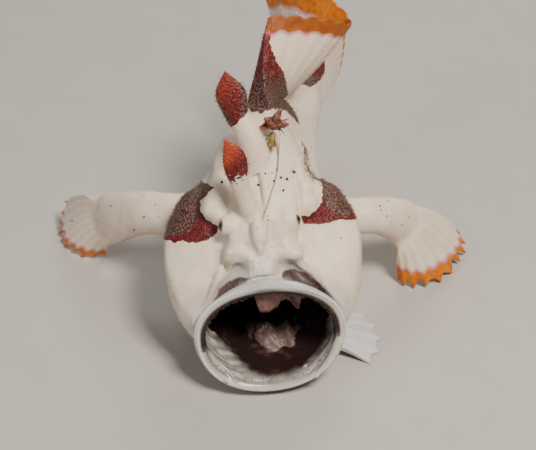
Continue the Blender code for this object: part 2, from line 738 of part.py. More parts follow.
# The thin rod laid back over the forehead, and the lure at its end, whose lobes spread like petals.
ILLICIUM_PATH = ((-0.9, -13.0, 19.0), (-0.4, -12.4, 21.0), (0.6, -10.2, 23.0), (1.6, -6.8, 25.0),
                 (1.9, -2.8, 27.4))
ILLICIUM_RADIUS = 0.28
LURE_CENTRE = (1.3, -2.0, 28.1)
LURE_RADIUS = 1.0
LURE_LOBES = 5
LOBE_FIRST_ANGLE = -40.0
LOBE_ANGLE = 33.0
LOBE_REACHES = (0.3, 1.3, 2.1)
LOBE_WIDTHS = (0.42, 0.42, 0.2)
LOBE_DEPTHS = (0.34, 0.32, 0.16)
TUFT_START = (-0.1, -0.5, -0.3)
TUFT_REACH = (-0.3, -1.5, -0.9)
TUFT_WIDTHS = (0.5, 0.6, 0.3)
TUFT_DEPTHS = (0.5, 0.55, 0.3)


def fishing_rod(body_cutter):
    """The thin rod laid back over the forehead, and the lure at its end."""
    radii = [ILLICIUM_RADIUS] * len(ILLICIUM_PATH)
    rod = tube("illicium", ILLICIUM_PATH, radii, radii, (1.0, 0.0, 0.0), sides=8)
    lure = ball("lure", LURE_CENTRE, LURE_RADIUS, "lure_pink", segments=12)
    centre = np.array(LURE_CENTRE)
    lobes = []
    for i in range(LURE_LOBES):
        angle = math.radians(LOBE_FIRST_ANGLE + LOBE_ANGLE * i)
        reach = np.array([math.sin(angle), -0.3 + 0.1 * (i % 2), math.cos(angle)])
        path = [centre + far * reach for far in LOBE_REACHES]
        lobes.append(tube(f"lobe_{i}", path, LOBE_WIDTHS, LOBE_DEPTHS, (0.1, 1.0, 0.05), sides=6, steps=2))
    path = [centre + TUFT_START + share * np.array(TUFT_REACH) for share in (0.0, 0.5, 1.0)]
    tuft = tube("tuft", path, TUFT_WIDTHS, TUFT_DEPTHS, (1.0, 0.0, 0.1), sides=8, steps=2)
    united(lure, lobes + [tuft], "MANIFOLD")
    largest_piece(lure)
    largest_piece(combined(rod, body_cutter, "DIFFERENCE", keep_other=True))
    largest_piece(combined(rod, ball("clear", LURE_CENTRE, LURE_RADIUS + GAP, segments=12), "DIFFERENCE"))


def eye_places():
    """Centre and outward direction of each eye."""
    for side, sign in (("left", 1.0), ("right", -1.0)):
        mirror = np.array([sign, 1.0, 1.0])
        centre, outer = posed([EYE_CENTRE * mirror, (np.array(EYE_CENTRE) + EYE_LOOK) * mirror])
        direction = outer - centre
        yield side, centre, direction / np.linalg.norm(direction)


def torus(name, centre, direction, major, minor, sides=16, around=8):
    normal = Vector(direction)
    turn = normal.to_track_quat("Z", "Y").to_matrix()
    rings = []
    for i in range(sides):
        a = 2 * math.pi * i / sides
        ring = []
        for j in range(around):
            b = 2 * math.pi * j / around
            reach = major + minor * math.cos(b)
            local = turn @ Vector((reach * math.cos(a), reach * math.sin(a), minor * math.sin(b)))
            ring.append(np.array(centre) + np.array(local))
        rings.append(ring)
    points = np.array(rings).reshape(-1, 3)
    faces = []
    for i in range(sides):
        faces += quads_between(i * around, ((i + 1) % sides) * around, around)
    return new_object(name, points, faces)


def eyes(body):
    for side, centre, direction in eye_places():
        lid_centre = centre + direction * (EYE_RADIUS * 0.72)
        combined(body, torus("lid", lid_centre, direction, LID_RADIUS, LID_THICKNESS), "UNION")
        combined(body, ball("socket", centre, EYE_RADIUS + GAP), "DIFFERENCE")
        ball(f"eye_{side}", centre, EYE_RADIUS, "eye_dark", segments=16)


def nostrils(body):
    """A short tube with a pit in its end on each side of the snout."""
    for sign in (1.0, -1.0):
        foot = np.array(NOSTRIL) * (sign, 1.0, 1.0)
        base, end = posed([foot, foot + NOSTRIL_REACH])
        path = (base, (base + end) / 2, end)
        rim = tube("nostril", path, NOSTRIL_RADII, NOSTRIL_RADII, (1.0, 0.0, 0.0), sides=10, steps=1)
        combined(body, rim, "UNION")
        combined(body, ball("pit", end, NOSTRIL_PIT, segments=8), "DIFFERENCE")


def tongue():
    """A low soft mound on the floor of the mouth."""
    rings = rings_of(INNER, INNER_STEPS, GIRTH_SIDES)
    rings = posed(rings.reshape(-1, 3)).reshape(rings.shape)
    hollow = lofted("hollow", rings - ring_normals(rings) * GAP)
    mound = ball("tongue", (0.0, 0.0, 0.0), 1.0, "mouth_flesh", segments=24)
    for vertex in mound.data.vertices:
        spot = np.array(vertex.co) / MM * TONGUE_SIZE
        notch = 0.5 * math.exp(-((spot[0] / 0.9) ** 2)) * max(spot[2], 0.0) / TONGUE_SIZE[2]
        vertex.co = Vector(spot + TONGUE_CENTRE - (0.0, 0.0, notch)) * MM
    largest_piece(combined(mound, hollow, "INTERSECT"))


def main():
    for existing in list(bpy.data.objects):
        bpy.data.objects.remove(existing)
    body = whole_body()
    cutter = grown_body()
    eyes(body)
    nostrils(body)
    floor_cut(body)
    jaws = combined(copy_of(body, "upper_jaw", "lip_grey"), region(AHEAD_OF_ALL, JAW_CUT), "INTERSECT")
    lower = copy_of(jaws, "lower_jaw", "lip_grey")
    half = GAP / 2
    combined(jaws, block((-FAR, -FAR, MOUTH_CORNER_HEIGHT + half), (FAR, FAR, FAR)), "INTERSECT")
    combined(lower, block((-FAR, -FAR, -FAR), (FAR, FAR, MOUTH_CORNER_HEIGHT - half)), "INTERSECT")
    head = combined(copy_of(body, "head"), region(JAW_CUT, NECK_CUT), "INTERSECT")
    torso = combined(copy_of(body, "torso"), region(NECK_CUT, TAIL_CUT), "INTERSECT")
    tail = combined(copy_of(body, "tail_stem"), region(TAIL_CUT, BEHIND_ALL), "INTERSECT")
    for piece in (jaws, lower, head, torso, tail):
        largest_piece(piece)
    bpy.data.objects.remove(body)
    tongue()
    dorsal_fin(cutter)
    anal_fin(cutter)
    tail_fin()
    for arm in (LEFT_ARM, RIGHT_ARM):
        pectoral(arm, cutter)
    for foot in (LEFT_FOOT, RIGHT_FOOT):
        pelvic(foot, cutter)
    spines(cutter)
    fishing_rod(cutter)
    bpy.data.objects.remove(cutter)


main()
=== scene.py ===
"""Looks of the still frogfish model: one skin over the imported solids, its markings, eyes, lure and studio.

Shapes are worked out in millimetres and become metres where meshes are made. The fish faces -Y.
"""

import math
from typing import NamedTuple
import bmesh
import bpy
import numpy as np
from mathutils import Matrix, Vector, noise
from mathutils.bvhtree import BVHTree


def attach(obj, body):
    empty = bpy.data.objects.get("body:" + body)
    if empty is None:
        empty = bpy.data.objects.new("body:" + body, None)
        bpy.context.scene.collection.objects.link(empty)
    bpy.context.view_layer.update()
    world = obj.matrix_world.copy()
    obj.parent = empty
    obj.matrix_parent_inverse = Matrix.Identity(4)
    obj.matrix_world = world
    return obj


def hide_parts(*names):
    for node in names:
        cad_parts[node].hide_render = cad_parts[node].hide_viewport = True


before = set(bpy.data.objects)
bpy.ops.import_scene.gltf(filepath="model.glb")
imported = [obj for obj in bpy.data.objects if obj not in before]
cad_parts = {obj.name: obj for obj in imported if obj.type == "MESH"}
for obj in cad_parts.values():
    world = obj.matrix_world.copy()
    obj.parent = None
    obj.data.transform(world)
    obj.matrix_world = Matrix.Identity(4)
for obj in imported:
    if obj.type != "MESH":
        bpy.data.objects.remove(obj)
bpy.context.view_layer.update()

MM = 0.001
VOXEL = 0.15
BODY_SIDES = 200
# Rings from each section to the next.
OUTER_STEPS = 9
INNER_STEPS = 8
SEED = 7


class Section(NamedTuple):
    """One cross-section of the body: top and bottom are (y, z) on the midline."""

    top: tuple
    bottom: tuple
    half_width: float
    widest: float
    power: float
    pinch: float
    tuck: float = 0.0


# The body from the crest of the lips to the tail, and the mouth's lining from the same crest inward.
LIP_CREST = Section((-16.3, 13.7), (-20.8, 1.3), 8.9, 0.55, 2.15, 0.0)
OUTER = (
    LIP_CREST,
    Section((-15.8, 14.4), (-20.2, 0.5), 9.3, 0.55, 2.15, 0.0),
    Section((-15.2, 14.7), (-19.2, 0.4), 9.1, 0.54, 2.15, 0.05),
    Section((-14.4, 16.2), (-17.8, 0.3), 9.7, 0.55, 2.1, 0.18, 0.05),
    Section((-13.0, 18.4), (-15.5, 0.2), 11.0, 0.58, 2.1, 0.34, 0.12),
    Section((-10.3, 21.0), (-12.0, 0.1), 12.0, 0.60, 2.1, 0.43, 0.14),
    Section((-7.0, 23.4), (-8.0, 0.05), 12.2, 0.59, 2.1, 0.40, 0.14),
    Section((-3.2, 25.4), (-3.5, 0.0), 11.2, 0.55, 2.1, 0.30, 0.12),
    Section((1.0, 26.4), (1.0, -0.3), 8.9, 0.47, 2.1, 0.18, 0.05),
    Section((6.0, 26.0), (6.0, -0.1), 7.2, 0.43, 2.1, 0.40),
    Section((11.0, 23.6), (11.5, 0.9), 6.0, 0.44, 2.05, 0.24),
    Section((16.0, 20.0), (16.5, 3.8), 4.9, 0.47, 2.0, 0.08),
    Section((20.5, 17.2), (21.0, 7.0), 3.7, 0.5, 2.0, 0.0),
    Section((24.5, 16.2), (25.0, 9.0), 2.5, 0.5, 2.0, 0.0),
    Section((28.0, 16.9), (28.0, 9.3), 1.3, 0.5, 2.0, 0.0),
)
INNER = (
    LIP_CREST,
    Section((-16.2, 12.8), (-20.3, 2.2), 8.0, 0.55, 2.15, 0.0),
    Section((-15.2, 12.6), (-19.0, 2.2), 7.9, 0.54, 2.15, 0.0),
    Section((-13.0, 13.1), (-16.0, 2.0), 8.3, 0.52, 2.2, 0.1),
    Section((-9.5, 13.2), (-11.5, 2.0), 8.2, 0.5, 2.2, 0.12),
    Section((-6.0, 11.5), (-7.5, 3.2), 6.6, 0.5, 2.1, 0.0),
    Section((-3.6, 9.4), (-4.2, 5.2), 3.2, 0.5, 2.0, 0.0),
)

# Swellings and grooves on both sides of the head, given for +X: start, end, radius, height.
PAIRED_RELIEFS = (
    ((5.6, -9.2, 18.4), (5.0, -13.4, 15.8), 1.1, -0.9),
    ((4.9, -13.6, 15.6), (8.4, -15.6, 8.6), 0.7, -0.75),
    ((6.0, -6.6, 21.2), (6.4, -8.8, 19.6), 2.0, 1.2),
    ((2.0, -14.3, 17.0), (4.2, -13.9, 16.2), 0.8, 0.5),
    ((8.8, -11.5, 12.6), (10.0, -12.5, 7.5), 2.6, 0.6),
    ((6.6, -0.5, 20.8), (6.8, -4.0, 20.4), 1.6, -1.1),
    ((8.6, -3.5, 18.0), (8.8, -6.0, 17.6), 2.2, 1.0),
    ((3.4, -11.6, 20.6), (3.0, -13.6, 18.0), 0.9, 0.35),
    ((3.6, -6.0, 24.0), (4.2, -10.0, 21.2), 1.0, -0.35),
)
MIDLINE_RELIEFS = (
    ((-0.4, -13.4, 18.4), (-0.4, -12.2, 19.8), 1.2, 1.1),
    ((-2.6, -14.4, 17.1), (2.6, -14.4, 17.1), 0.7, -0.6),
    ((0.0, -15.2, 15.6), (0.0, -16.0, 14.4), 1.5, 0.5),
    ((0.9, -11.0, 20.6), (0.8, -5.0, 24.8), 1.8, 0.5),
    ((-0.6, -11.6, 20.4), (-0.9, -7.0, 23.8), 0.7, -0.5),
)

# The head's end and the tail's curl to +X, and the head leans about a line along the body.
HEAD_CURL = 0.8
HEAD_CURL_FROM = -5.0
HEAD_CURL_OVER = 15.0
TAIL_CURL = 4.6
TAIL_CURL_FROM = 2.0
TAIL_CURL_TO = 24.0
LEAN = math.radians(4.0)
LEAN_PIVOT = 6.0
LEAN_FADE_FROM = 0.0
LEAN_FADE_TO = 12.0

EYE_RADIUS = 1.25
EYE_CENTRE = (3.75, -10.4, 19.4)
EYE_LOOK = (0.9, -0.36, 0.25)
# Half width and half height of the opening between the lids.
EYE_SLIT = (0.52, 0.70)


def eased(value, low, high):
    """0 below low, 1 above high, smooth between them."""
    share = np.clip((np.asarray(value, float) - low) / (high - low), 0.0, 1.0)
    return share * share * (3.0 - 2.0 * share)


def faded(value, low, high):
    """1 below low, 0 above high, smooth between them."""
    return 1.0 - eased(value, low, high)


def bell(value, width, power=2):
    """1 where value is 0 and near 0 beyond two widths. A higher power gives it a flatter top."""
    return np.exp(-((value / width) ** power))


def turn_angles(count):
    """Angles evenly round one turn."""
    return 2 * math.pi * np.arange(count) / count


def midline(y):
    """How far the midline lies to +X at y, and its slope there."""
    ahead = np.maximum(HEAD_CURL_FROM - y, 0.0) / HEAD_CURL_OVER
    tail_length = TAIL_CURL_TO - TAIL_CURL_FROM
    behind = (np.clip(y, TAIL_CURL_FROM, TAIL_CURL_TO) - TAIL_CURL_FROM) / tail_length
    tail_slope = 2.0 * TAIL_CURL * behind / tail_length
    beyond = np.maximum(y - TAIL_CURL_TO, 0.0) * tail_slope
    offset = HEAD_CURL * ahead**2 + TAIL_CURL * behind**2 + beyond
    return offset, tail_slope - 2.0 * HEAD_CURL * ahead / HEAD_CURL_OVER


def posed(points):
    """Points of the straight fish, moved to where its lean and curl take them."""
    points = np.atleast_2d(np.asarray(points, float))
    x, y, z = points.T
    lean = LEAN * (1.0 - eased(y, LEAN_FADE_FROM, LEAN_FADE_TO))
    up = z - LEAN_PIVOT
    x, z = x * np.cos(lean) - up * np.sin(lean), LEAN_PIVOT + x * np.sin(lean) + up * np.cos(lean)
    offset, slope = midline(y)
    length = np.sqrt(1.0 + slope**2)
    return np.column_stack([offset + x / length, y - x * slope / length, z])


def through(keys, steps):
    """A smooth curve through the rows of keys, with steps spans between neighbours."""
    keys = np.asarray(keys, float)
    padded = np.vstack([2 * keys[0] - keys[1], keys, 2 * keys[-1] - keys[-2]])
    rows = []
    for i in range(len(keys) - 1):
        before, start, end, after = padded[i : i + 4]
        for step in range(steps):
            t = step / steps
            rows.append(
                0.5 * (2 * start + (end - before) * t + (2 * before - 5 * start + 4 * end - after) * t**2
                       + (3 * start - before - 3 * end + after) * t**3)
            )
    rows.append(keys[-1])
    return np.array(rows)


def between(values, share):
    """The value at a share of the way along a row of evenly spaced values."""
    curve = through(np.array(values, float).reshape(len(values), -1), 8)
    fine = np.linspace(0.0, 1.0, len(curve))
    found = np.array([np.interp(share, fine, curve[:, k]) for k in range(curve.shape[1])])
    return found if len(found) > 1 else float(found[0])


def ring_points(row, sides):
    """The points round one cross-section, from the top towards +X."""
    top, bottom = np.array([0.0, *row[0:2]]), np.array([0.0, *row[2:4]])
    half_width, widest, power, pinch, tuck = row[4:9]
    middle = bottom + (top - bottom) * widest
    angles = turn_angles(sides)
    across = np.sign(np.sin(angles)) * np.abs(np.sin(angles)) ** (2 / power)
    along = np.sign(np.cos(angles)) * np.abs(np.cos(angles)) ** (2 / power)
    points = middle + np.outer(np.maximum(along, 0), top - middle)
    points += np.outer(np.maximum(-along, 0), bottom - middle)
    narrowing = pinch * eased(along, 0.15, 0.55) + tuck * eased(-along, 0.1, 0.6)
    points[:, 0] += across * half_width * (1.0 - narrowing)
    return points


def rings_of(sections, steps, sides):
    keys = [(*s.top, *s.bottom, s.half_width, s.widest, s.power, s.pinch, s.tuck) for s in sections]
    return np.array([ring_points(row, sides) for row in through(keys, steps)])


def from_line(points, start, end):
    """Distance of each point from the line between start and end."""
    start, end = np.array(start, float), np.array(end, float)
    along = end - start
    share = np.clip((points - start) @ along / max(along @ along, 1e-9), 0.0, 1.0)
    return np.linalg.norm(points - start - share[:, None] * along, axis=1)


def line_distance(points, line):
    """Distance of each point from a line of straight pieces."""
    return np.minimum.reduce([from_line(points, start, end) for start, end in zip(line[:-1], line[1:])])


def relief_heights(points):
    heights = np.zeros(len(points))
    mirrored = points * (-1.0, 1.0, 1.0)
    for start, end, radius, height in PAIRED_RELIEFS:
        for side in (points, mirrored):
            heights += height * bell(from_line(side, start, end), radius)
    for start, end, radius, height in MIDLINE_RELIEFS:
        heights += height * bell(from_line(points, start, end), radius)
    return heights


def ring_normals(rings):
    """Unit normals of a surface of rings, which point out of it."""
    along = np.gradient(rings, axis=0)
    around = np.roll(rings, -1, axis=1) - np.roll(rings, 1, axis=1)
    normals = np.cross(along, around)
    normals /= np.maximum(np.linalg.norm(normals, axis=2), 1e-9)[:, :, None]
    away = rings - rings.mean(axis=1)[:, None]
    return -normals if np.sum(normals * away) < 0 else normals


class Source(NamedTuple):
    """A closed form that the skin is made from. facts holds one row of values for each point."""

    name: str
    points: np.ndarray
    faces: list
    facts: np.ndarray


# What facts holds: the place on the straight fish, then mouth depth and angle for the body,
# or share along and place across for limbs and fins, then the distance in from the fin's margin.
STRAIGHT = slice(0, 3)
DEPTH, ANGLE, MARGIN = 3, 4, 5
ALONG, ACROSS = 3, 4
FACT_COUNT = 6
# A distance in millimetres that stands for nowhere near.
FAR = 9.0


def ring_faces(rings, sides, first=0):
    faces = []
    for i in range(rings - 1):
        for j in range(sides):
            a, b = first + i * sides + j, first + i * sides + (j + 1) % sides
            faces += [(a, b, b + sides), (a, b + sides, a + sides)]
    return faces


def closed_rings(name, rings, facts):
    """A closed source from rings of points, with a fan of triangles at each end."""
    count, sides, _ = rings.shape
    points = np.vstack([rings.reshape(-1, 3), rings[0].mean(0), rings[-1].mean(0)])
    facts = np.vstack([facts.reshape(-1, FACT_COUNT), facts[0].mean(0), facts[-1].mean(0)])
    faces = ring_faces(count, sides)
    for centre, first in ((count * sides, 0), (count * sides + 1, (count - 1) * sides)):
        faces += [(centre, first + i, first + (i + 1) % sides) for i in range(sides)]
    return Source(name, points, faces, facts)


# The ripples that run along the lips, in radians for each millimetre of depth and degree of angle.
LIP_RIPPLE = 13.0
LIP_RIPPLE_SLANT = 0.04
# Ridges and grooves of the lower lip: distance in from its crest, half width and height.
LOWER_LIP_RIDGES = ((0.1, 0.35, 0.16), (1.2, 0.5, -0.25), (2.2, 0.6, 0.20))


def mouth_heights(depth, angle):
    """Folds round the mouth, by distance in from the crest of the lips and angle from the top."""
    side = np.abs(angle)
    upper = faded(side, 85, 115)
    middle = faded(side, 12, 45)
    lower = eased(side, 92, 120)
    upper_lip = bell(depth + 0.35 + 0.3 * middle, 0.5 + 0.35 * middle)
    heights = (0.22 + 0.13 * middle) * upper * upper_lip
    heights -= 0.38 * upper * (1.0 - middle) * bell(depth + 1.35, 0.45)
    window = eased(side, 16, 30) * faded(side, 62, 80)
    heights -= 0.40 * window * bell(depth + 2.4, 0.9)
    fold_at = -1.9 - 2.6 * np.cos(np.radians(np.clip(side, 0, 90))) ** 1.3
    fold = eased(side, 14, 26) * faded(side, 96, 112)
    heights += 0.16 * fold * bell(depth - fold_at, 0.5)
    wrinkle = np.sin(np.radians(angle) * 17 + 1.5 * np.sin(np.radians(angle) * 5) + depth * 1.1)
    heights += 0.012 * lower * wrinkle * bell(depth - 0.8, 2.2)
    for at, half_width, height in LOWER_LIP_RIDGES:
        heights += height * lower * bell(depth - at, half_width)
    ripple = np.sin(depth * LIP_RIPPLE + angle * LIP_RIPPLE_SLANT)
    heights += 0.05 * upper * ripple * bell(depth + 0.3, 0.9, 4)
    streaks = np.sin(angle * 1.15 + 2.0 * np.sin(depth * 1.3))
    heights += 0.05 * faded(side, 12, 22) * streaks * eased(-depth, 0.8, 1.6) * faded(-depth, 3.6, 4.6)
    return heights


def body_source():
    """The head and body, and the lining of the mouth, as one closed form of rings."""
    inner = rings_of(INNER, INNER_STEPS, BODY_SIDES)
    outer = rings_of(OUTER, OUTER_STEPS, BODY_SIDES)

    def arc(rings):
        steps = np.linalg.norm(np.diff(rings, axis=0), axis=2)
        return np.vstack([np.zeros((1, rings.shape[1])), np.cumsum(steps, axis=0)])

    depth = np.concatenate([arc(inner)[:0:-1], -arc(outer)])
    angle = np.degrees(turn_angles(BODY_SIDES))
    angle = np.broadcast_to(np.where(angle > 180, angle - 360, angle), depth.shape)
    rings = np.concatenate([inner[:0:-1], outer])
    normals = np.concatenate([-ring_normals(inner)[:0:-1], ring_normals(outer)])
    heights = mouth_heights(depth.ravel(), angle.ravel()).reshape(depth.shape)
    relief = relief_heights(rings.reshape(-1, 3)).reshape(depth.shape)
    relief[:len(inner) - 1] = 0.0
    rings = rings + normals * (heights + relief)[:, :, None]
    facts = np.zeros((*depth.shape, FACT_COUNT))
    facts[..., STRAIGHT] = rings
    facts[..., DEPTH] = depth
    facts[..., ANGLE] = angle
    facts[..., MARGIN] = FAR
    return closed_rings("body", posed(rings.reshape(-1, 3)).reshape(rings.shape), facts)


def tube(name, path, widths, depths, across, sides=40, steps=12):
    """A tapering oval tube along a smooth path. widths lie along across, depths square to it."""
    rows = through(np.column_stack([path, widths, depths]), steps)
    centres = rows[:, :3]
    angles = turn_angles(sides)
    rings, facts = [], []
    for i, centre in enumerate(centres):
        ahead = centres[min(i + 1, len(centres) - 1)] - centres[max(i - 1, 0)]
        ahead /= np.linalg.norm(ahead)
        side = np.array(across, float)
        side -= ahead * (side @ ahead)
        side /= np.linalg.norm(side)
        other = np.cross(ahead, side)
        width, depth = rows[i, 3:5]
        ring = centre + np.outer(np.cos(angles) * width, side) + np.outer(np.sin(angles) * depth, other)
        rings.append(ring)
        fact = np.zeros((sides, FACT_COUNT))
        fact[:, STRAIGHT] = ring
        fact[:, ALONG] = i / (len(centres) - 1)
        fact[:, ACROSS] = np.cos(angles)
        fact[:, MARGIN] = FAR
        facts.append(fact)
    return closed_rings(name, np.array(rings), np.array(facts))


def sheet_faces(rows, columns):
    """Triangles of a closed sheet, whose points are the rows of one side and then those of the other."""
    total = rows * columns
    faces = []
    for i in range(rows - 1):
        for j in range(columns - 1):
            a, b = i * columns + j, i * columns + j + 1
            c, d = b + columns, a + columns
            faces += [(a, b, c), (a, c, d)]
            faces += [(a + total, c + total, b + total), (a + total, d + total, c + total)]
    last = total - columns
    border = list(range(columns))
    border += [i * columns + columns - 1 for i in range(1, rows)]
    border += [last + j for j in range(columns - 2, -1, -1)]
    border += [i * columns for i in range(rows - 2, 0, -1)]
    for i, a in enumerate(border):
        b = border[(i + 1) % len(border)]
        faces += [(a, a + total, b + total), (a, b + total, b)]
    return faces


class Fan(NamedTuple):
    """A fin's rays and membrane. bow bends the rays, all alike or one by one."""

    roots: np.ndarray
    tips: np.ndarray
    bow: np.ndarray
    root_thickness: float
    tip_thickness: float
    ridge: float
    notch: float
    first_swell: float = 0.0


COLUMNS_PER_RAY = 10
FAN_ROWS = 34
# As a share of the span between two rays.
RAY_HALF_WIDTH = 0.16


def fan_source(name, fan, jag=0.0):
    """A fin as a closed sheet. Its margin is ragged where jag is above 0."""
    count = len(fan.roots)
    columns = (count - 1) * COLUMNS_PER_RAY + 1
    middle = np.zeros((FAN_ROWS, columns, 3))
    half = np.zeros((FAN_ROWS, columns))
    facts = np.zeros((FAN_ROWS, columns, FACT_COUNT))
    bows = np.broadcast_to(fan.bow, (count, 3))
    for column in range(columns):
        position = column / COLUMNS_PER_RAY
        root, tip, bow = (
            np.array([np.interp(position, range(count), values[:, k]) for k in range(3)])
            for values in (fan.roots, fan.tips, bows)
        )
        off_ray = abs((position + 0.5) % 1.0 - 0.5)
        ray = bell(off_ray, RAY_HALF_WIDTH)
        valley = math.sin(math.pi * off_ray) ** 0.8 if off_ray > 0 else 0.0
        ragged = 0.5 + 0.5 * noise.noise((position * 0.9, len(name), 0.3))
        ragged += 0.35 * noise.noise((position * 2.3, 4.0, 0.3))
        reach = 1.0 - fan.notch * valley - jag * max(ragged, 0.0) * (0.35 + 0.65 * valley)
        length = np.linalg.norm(tip - root)
        for row in range(FAN_ROWS):
            v = row / (FAN_ROWS - 1) * reach
            left = max(1.0 - v, 0.0)
            body = fan.root_thickness * left**1.5 + fan.tip_thickness * (1 - left**1.5)
            ridge = fan.ridge * ray * min(1.0, 3 * v) * (1 - 0.6 * v)
            swell = fan.first_swell * bell(position, 1.1) * left**1.1
            ripple = 0.06 * math.sin(position * 2 * math.pi) * v
            middle[row, column] = root + (tip - root) * v + bow * 4 * v * (1 - v) + (ripple, 0.0, 0.0)
            half[row, column] = (body + ridge + swell) / 2
            facts[row, column, ALONG] = v
            facts[row, column, ACROSS] = position
            facts[row, column, MARGIN] = left * length
    normals = np.cross(np.gradient(middle, axis=1), np.gradient(middle, axis=0))
    normals /= np.linalg.norm(normals, axis=2)[:, :, None]
    facts[..., STRAIGHT] = middle
    offset = normals * half[:, :, None]
    points = np.concatenate([middle + offset, middle - offset]).reshape(-1, 3)
    facts = facts.reshape(-1, FACT_COUNT)
    return Source(name, points, sheet_faces(FAN_ROWS, columns), np.vstack([facts, facts]))


DORSAL_RAYS = 13
DORSAL_BASE = ((3.2, 25.2), (8.8, 23.6), (14.4, 20.2), (20.0, 16.4))
DORSAL_LENGTHS = (12.7, 12.7, 13.7, 14.3, 14.8, 15.4, 16.6)
DORSAL_RAKES = (34.0, 30.0, 26.0, 26.0, 30.0, 36.0, 38.0)
DORSAL_LEANS = (-2.0, 20.0, 38.0, 43.0, 28.0, -8.0, -41.0)
DORSAL_BOWS = ((-0.5, -0.1, 0.0), (0.3, -0.2, 0.0), (0.6, -0.2, 0.0), (0.6, -0.2, 0.0), (0.6, -0.2, 0.0))
TAIL_RAYS = 9
TAIL_FAN_ROOT = (28.3, 16.4)
TAIL_FAN_ROOT_SPAN = 6.6
TAIL_FAN_SUNK = 1.2
TAIL_FAN_LENGTH = 11.5
TAIL_FAN_ANGLES = (16.0, -2.0)
ANAL_RAYS = 7
ANAL_FAN_ROOT = (13.5, 3.4)
ANAL_FAN_ROOT_SPAN = (7.0, 4.4)
ANAL_FAN_ANGLES = (-50.0, -8.0)
PECTORAL_RAYS = 10
PELVIC_RAYS = 5


def dorsal_fan():
    roots, tips, bows = [], [], []
    for i in range(DORSAL_RAYS):
        share = i / (DORSAL_RAYS - 1)
        y, z = between(DORSAL_BASE, share)
        rake, lean = math.radians(between(DORSAL_RAKES, share)), math.radians(between(DORSAL_LEANS, share))
        up = np.array([math.sin(lean) * math.cos(rake), math.sin(rake), math.cos(lean) * math.cos(rake)])
        roots.append(np.array([0.0, y, z]))
        tips.append(roots[-1] + up * between(DORSAL_LENGTHS, share))
        bows.append(between(DORSAL_BOWS, share))
    return Fan(posed(roots), posed(tips), np.array(bows), 1.5, 0.40, 0.08, -0.03, 2.7)


def swept(root, length, angles, share):
    """The tip of a ray on the midline, at a share of the sweep between two angles."""
    angle = math.radians(angles[0] + (angles[1] - angles[0]) * share)
    return root + length * np.array([0.0, math.cos(angle), math.sin(angle)])


def tail_fan():
    roots, tips = [], []
    for share in np.linspace(0.0, 1.0, TAIL_RAYS):
        root = np.array([0.0, TAIL_FAN_ROOT[0], TAIL_FAN_ROOT[1] - TAIL_FAN_ROOT_SPAN * share])
        length = TAIL_FAN_LENGTH * (0.84 + 0.16 * math.sin(math.pi * share))
        tips.append(swept(root, length, TAIL_FAN_ANGLES, share))
        roots.append(root - (0.0, TAIL_FAN_SUNK, 0.0))
    return Fan(posed(roots), posed(tips), (0.5, 0.0, 0.0), 1.8, 0.42, 0.36, 0.05)


def anal_fan():
    roots, tips = [], []
    for share in np.linspace(0.0, 1.0, ANAL_RAYS):
        roots.append(np.array([0.0, *(np.array(ANAL_FAN_ROOT) + np.array(ANAL_FAN_ROOT_SPAN) * share)]))
        length = 6.0 + 3.2 * math.sin(math.pi * (0.2 + 0.7 * share))
        tips.append(swept(roots[-1], length, ANAL_FAN_ANGLES, share))
    return Fan(posed(roots), posed(tips), (0.3, 0.0, 0.0), 1.4, 0.42, 0.36, 0.06)


class Arm(NamedTuple):
    side: str
    path: tuple
    widths: tuple
    depths: tuple
    margin: tuple


LEFT_ARM = Arm(
    "left",
    ((6.6, 0.6, 12.2), (11.0, 0.6, 11.9), (14.4, 1.6, 11.2), (17.0, 3.2, 9.2), (18.6, 4.2, 7.2)),
    (2.6, 2.4, 2.5, 2.9, 3.2),
    (2.3, 2.2, 2.1, 1.8, 1.4),
    ((17.4, 1.6, -0.1), (18.8, 0.3, -0.1), (21.4, 0.1, -0.1), (24.0, 2.2, -0.1), (26.2, 5.4, -0.1),
     (27.2, 8.2, 0.0), (26.6, 10.8, 0.4)))
RIGHT_ARM = Arm(
    "right",
    ((-6.6, 0.6, 12.6), (-11.4, 0.8, 12.0), (-16.0, 2.8, 10.7), (-19.6, 5.4, 8.0), (-21.6, 7.2, 5.9)),
    (2.9, 2.8, 2.9, 3.3, 3.5),
    (2.4, 2.3, 2.1, 1.8, 1.4),
    ((-21.8, 6.9, -0.1), (-24.6, 6.7, -0.1), (-27.0, 8.3, -0.1), (-28.3, 10.7, -0.1), (-28.5, 13.2, 0.8),
     (-27.8, 15.1, 2.8)))


def arm_sources(arm):
    wrist = np.array(arm.path[-1], float)
    ahead = wrist - np.array(arm.path[-2], float)
    ahead /= np.linalg.norm(ahead)
    across = np.array(arm.margin[-1], float) - np.array(arm.margin[0], float)
    across -= ahead * (across @ ahead)
    across /= np.linalg.norm(across)
    roots, tips = [], []
    for i in range(PECTORAL_RAYS):
        share = i / (PECTORAL_RAYS - 1)
        roots.append(wrist - ahead * 0.8 + across * arm.widths[-1] * 0.9 * (2 * share - 1))
        tips.append(between(arm.margin, share))
    fan = Fan(np.array(roots), np.array(tips), (0.0, 0.0, 0.9), 2.2, 0.42, 0.4, 0.04)
    limb = tube(f"arm_{arm.side}", arm.path, arm.widths, arm.depths, across, sides=72)
    return [limb, fan_source(f"hand_{arm.side}", fan, 0.16)]


class Foot(NamedTuple):
    side: str
    root: tuple
    root_span: float
    angles: tuple
    length: float


LEFT_FOOT = Foot("left", (4.6, -11.6, 1.8), 2.6, (-20.0, 26.0), 10.2)
RIGHT_FOOT = Foot("right", (-4.6, -7.6, 1.9), 2.6, (150.0, 98.0), 7.4)


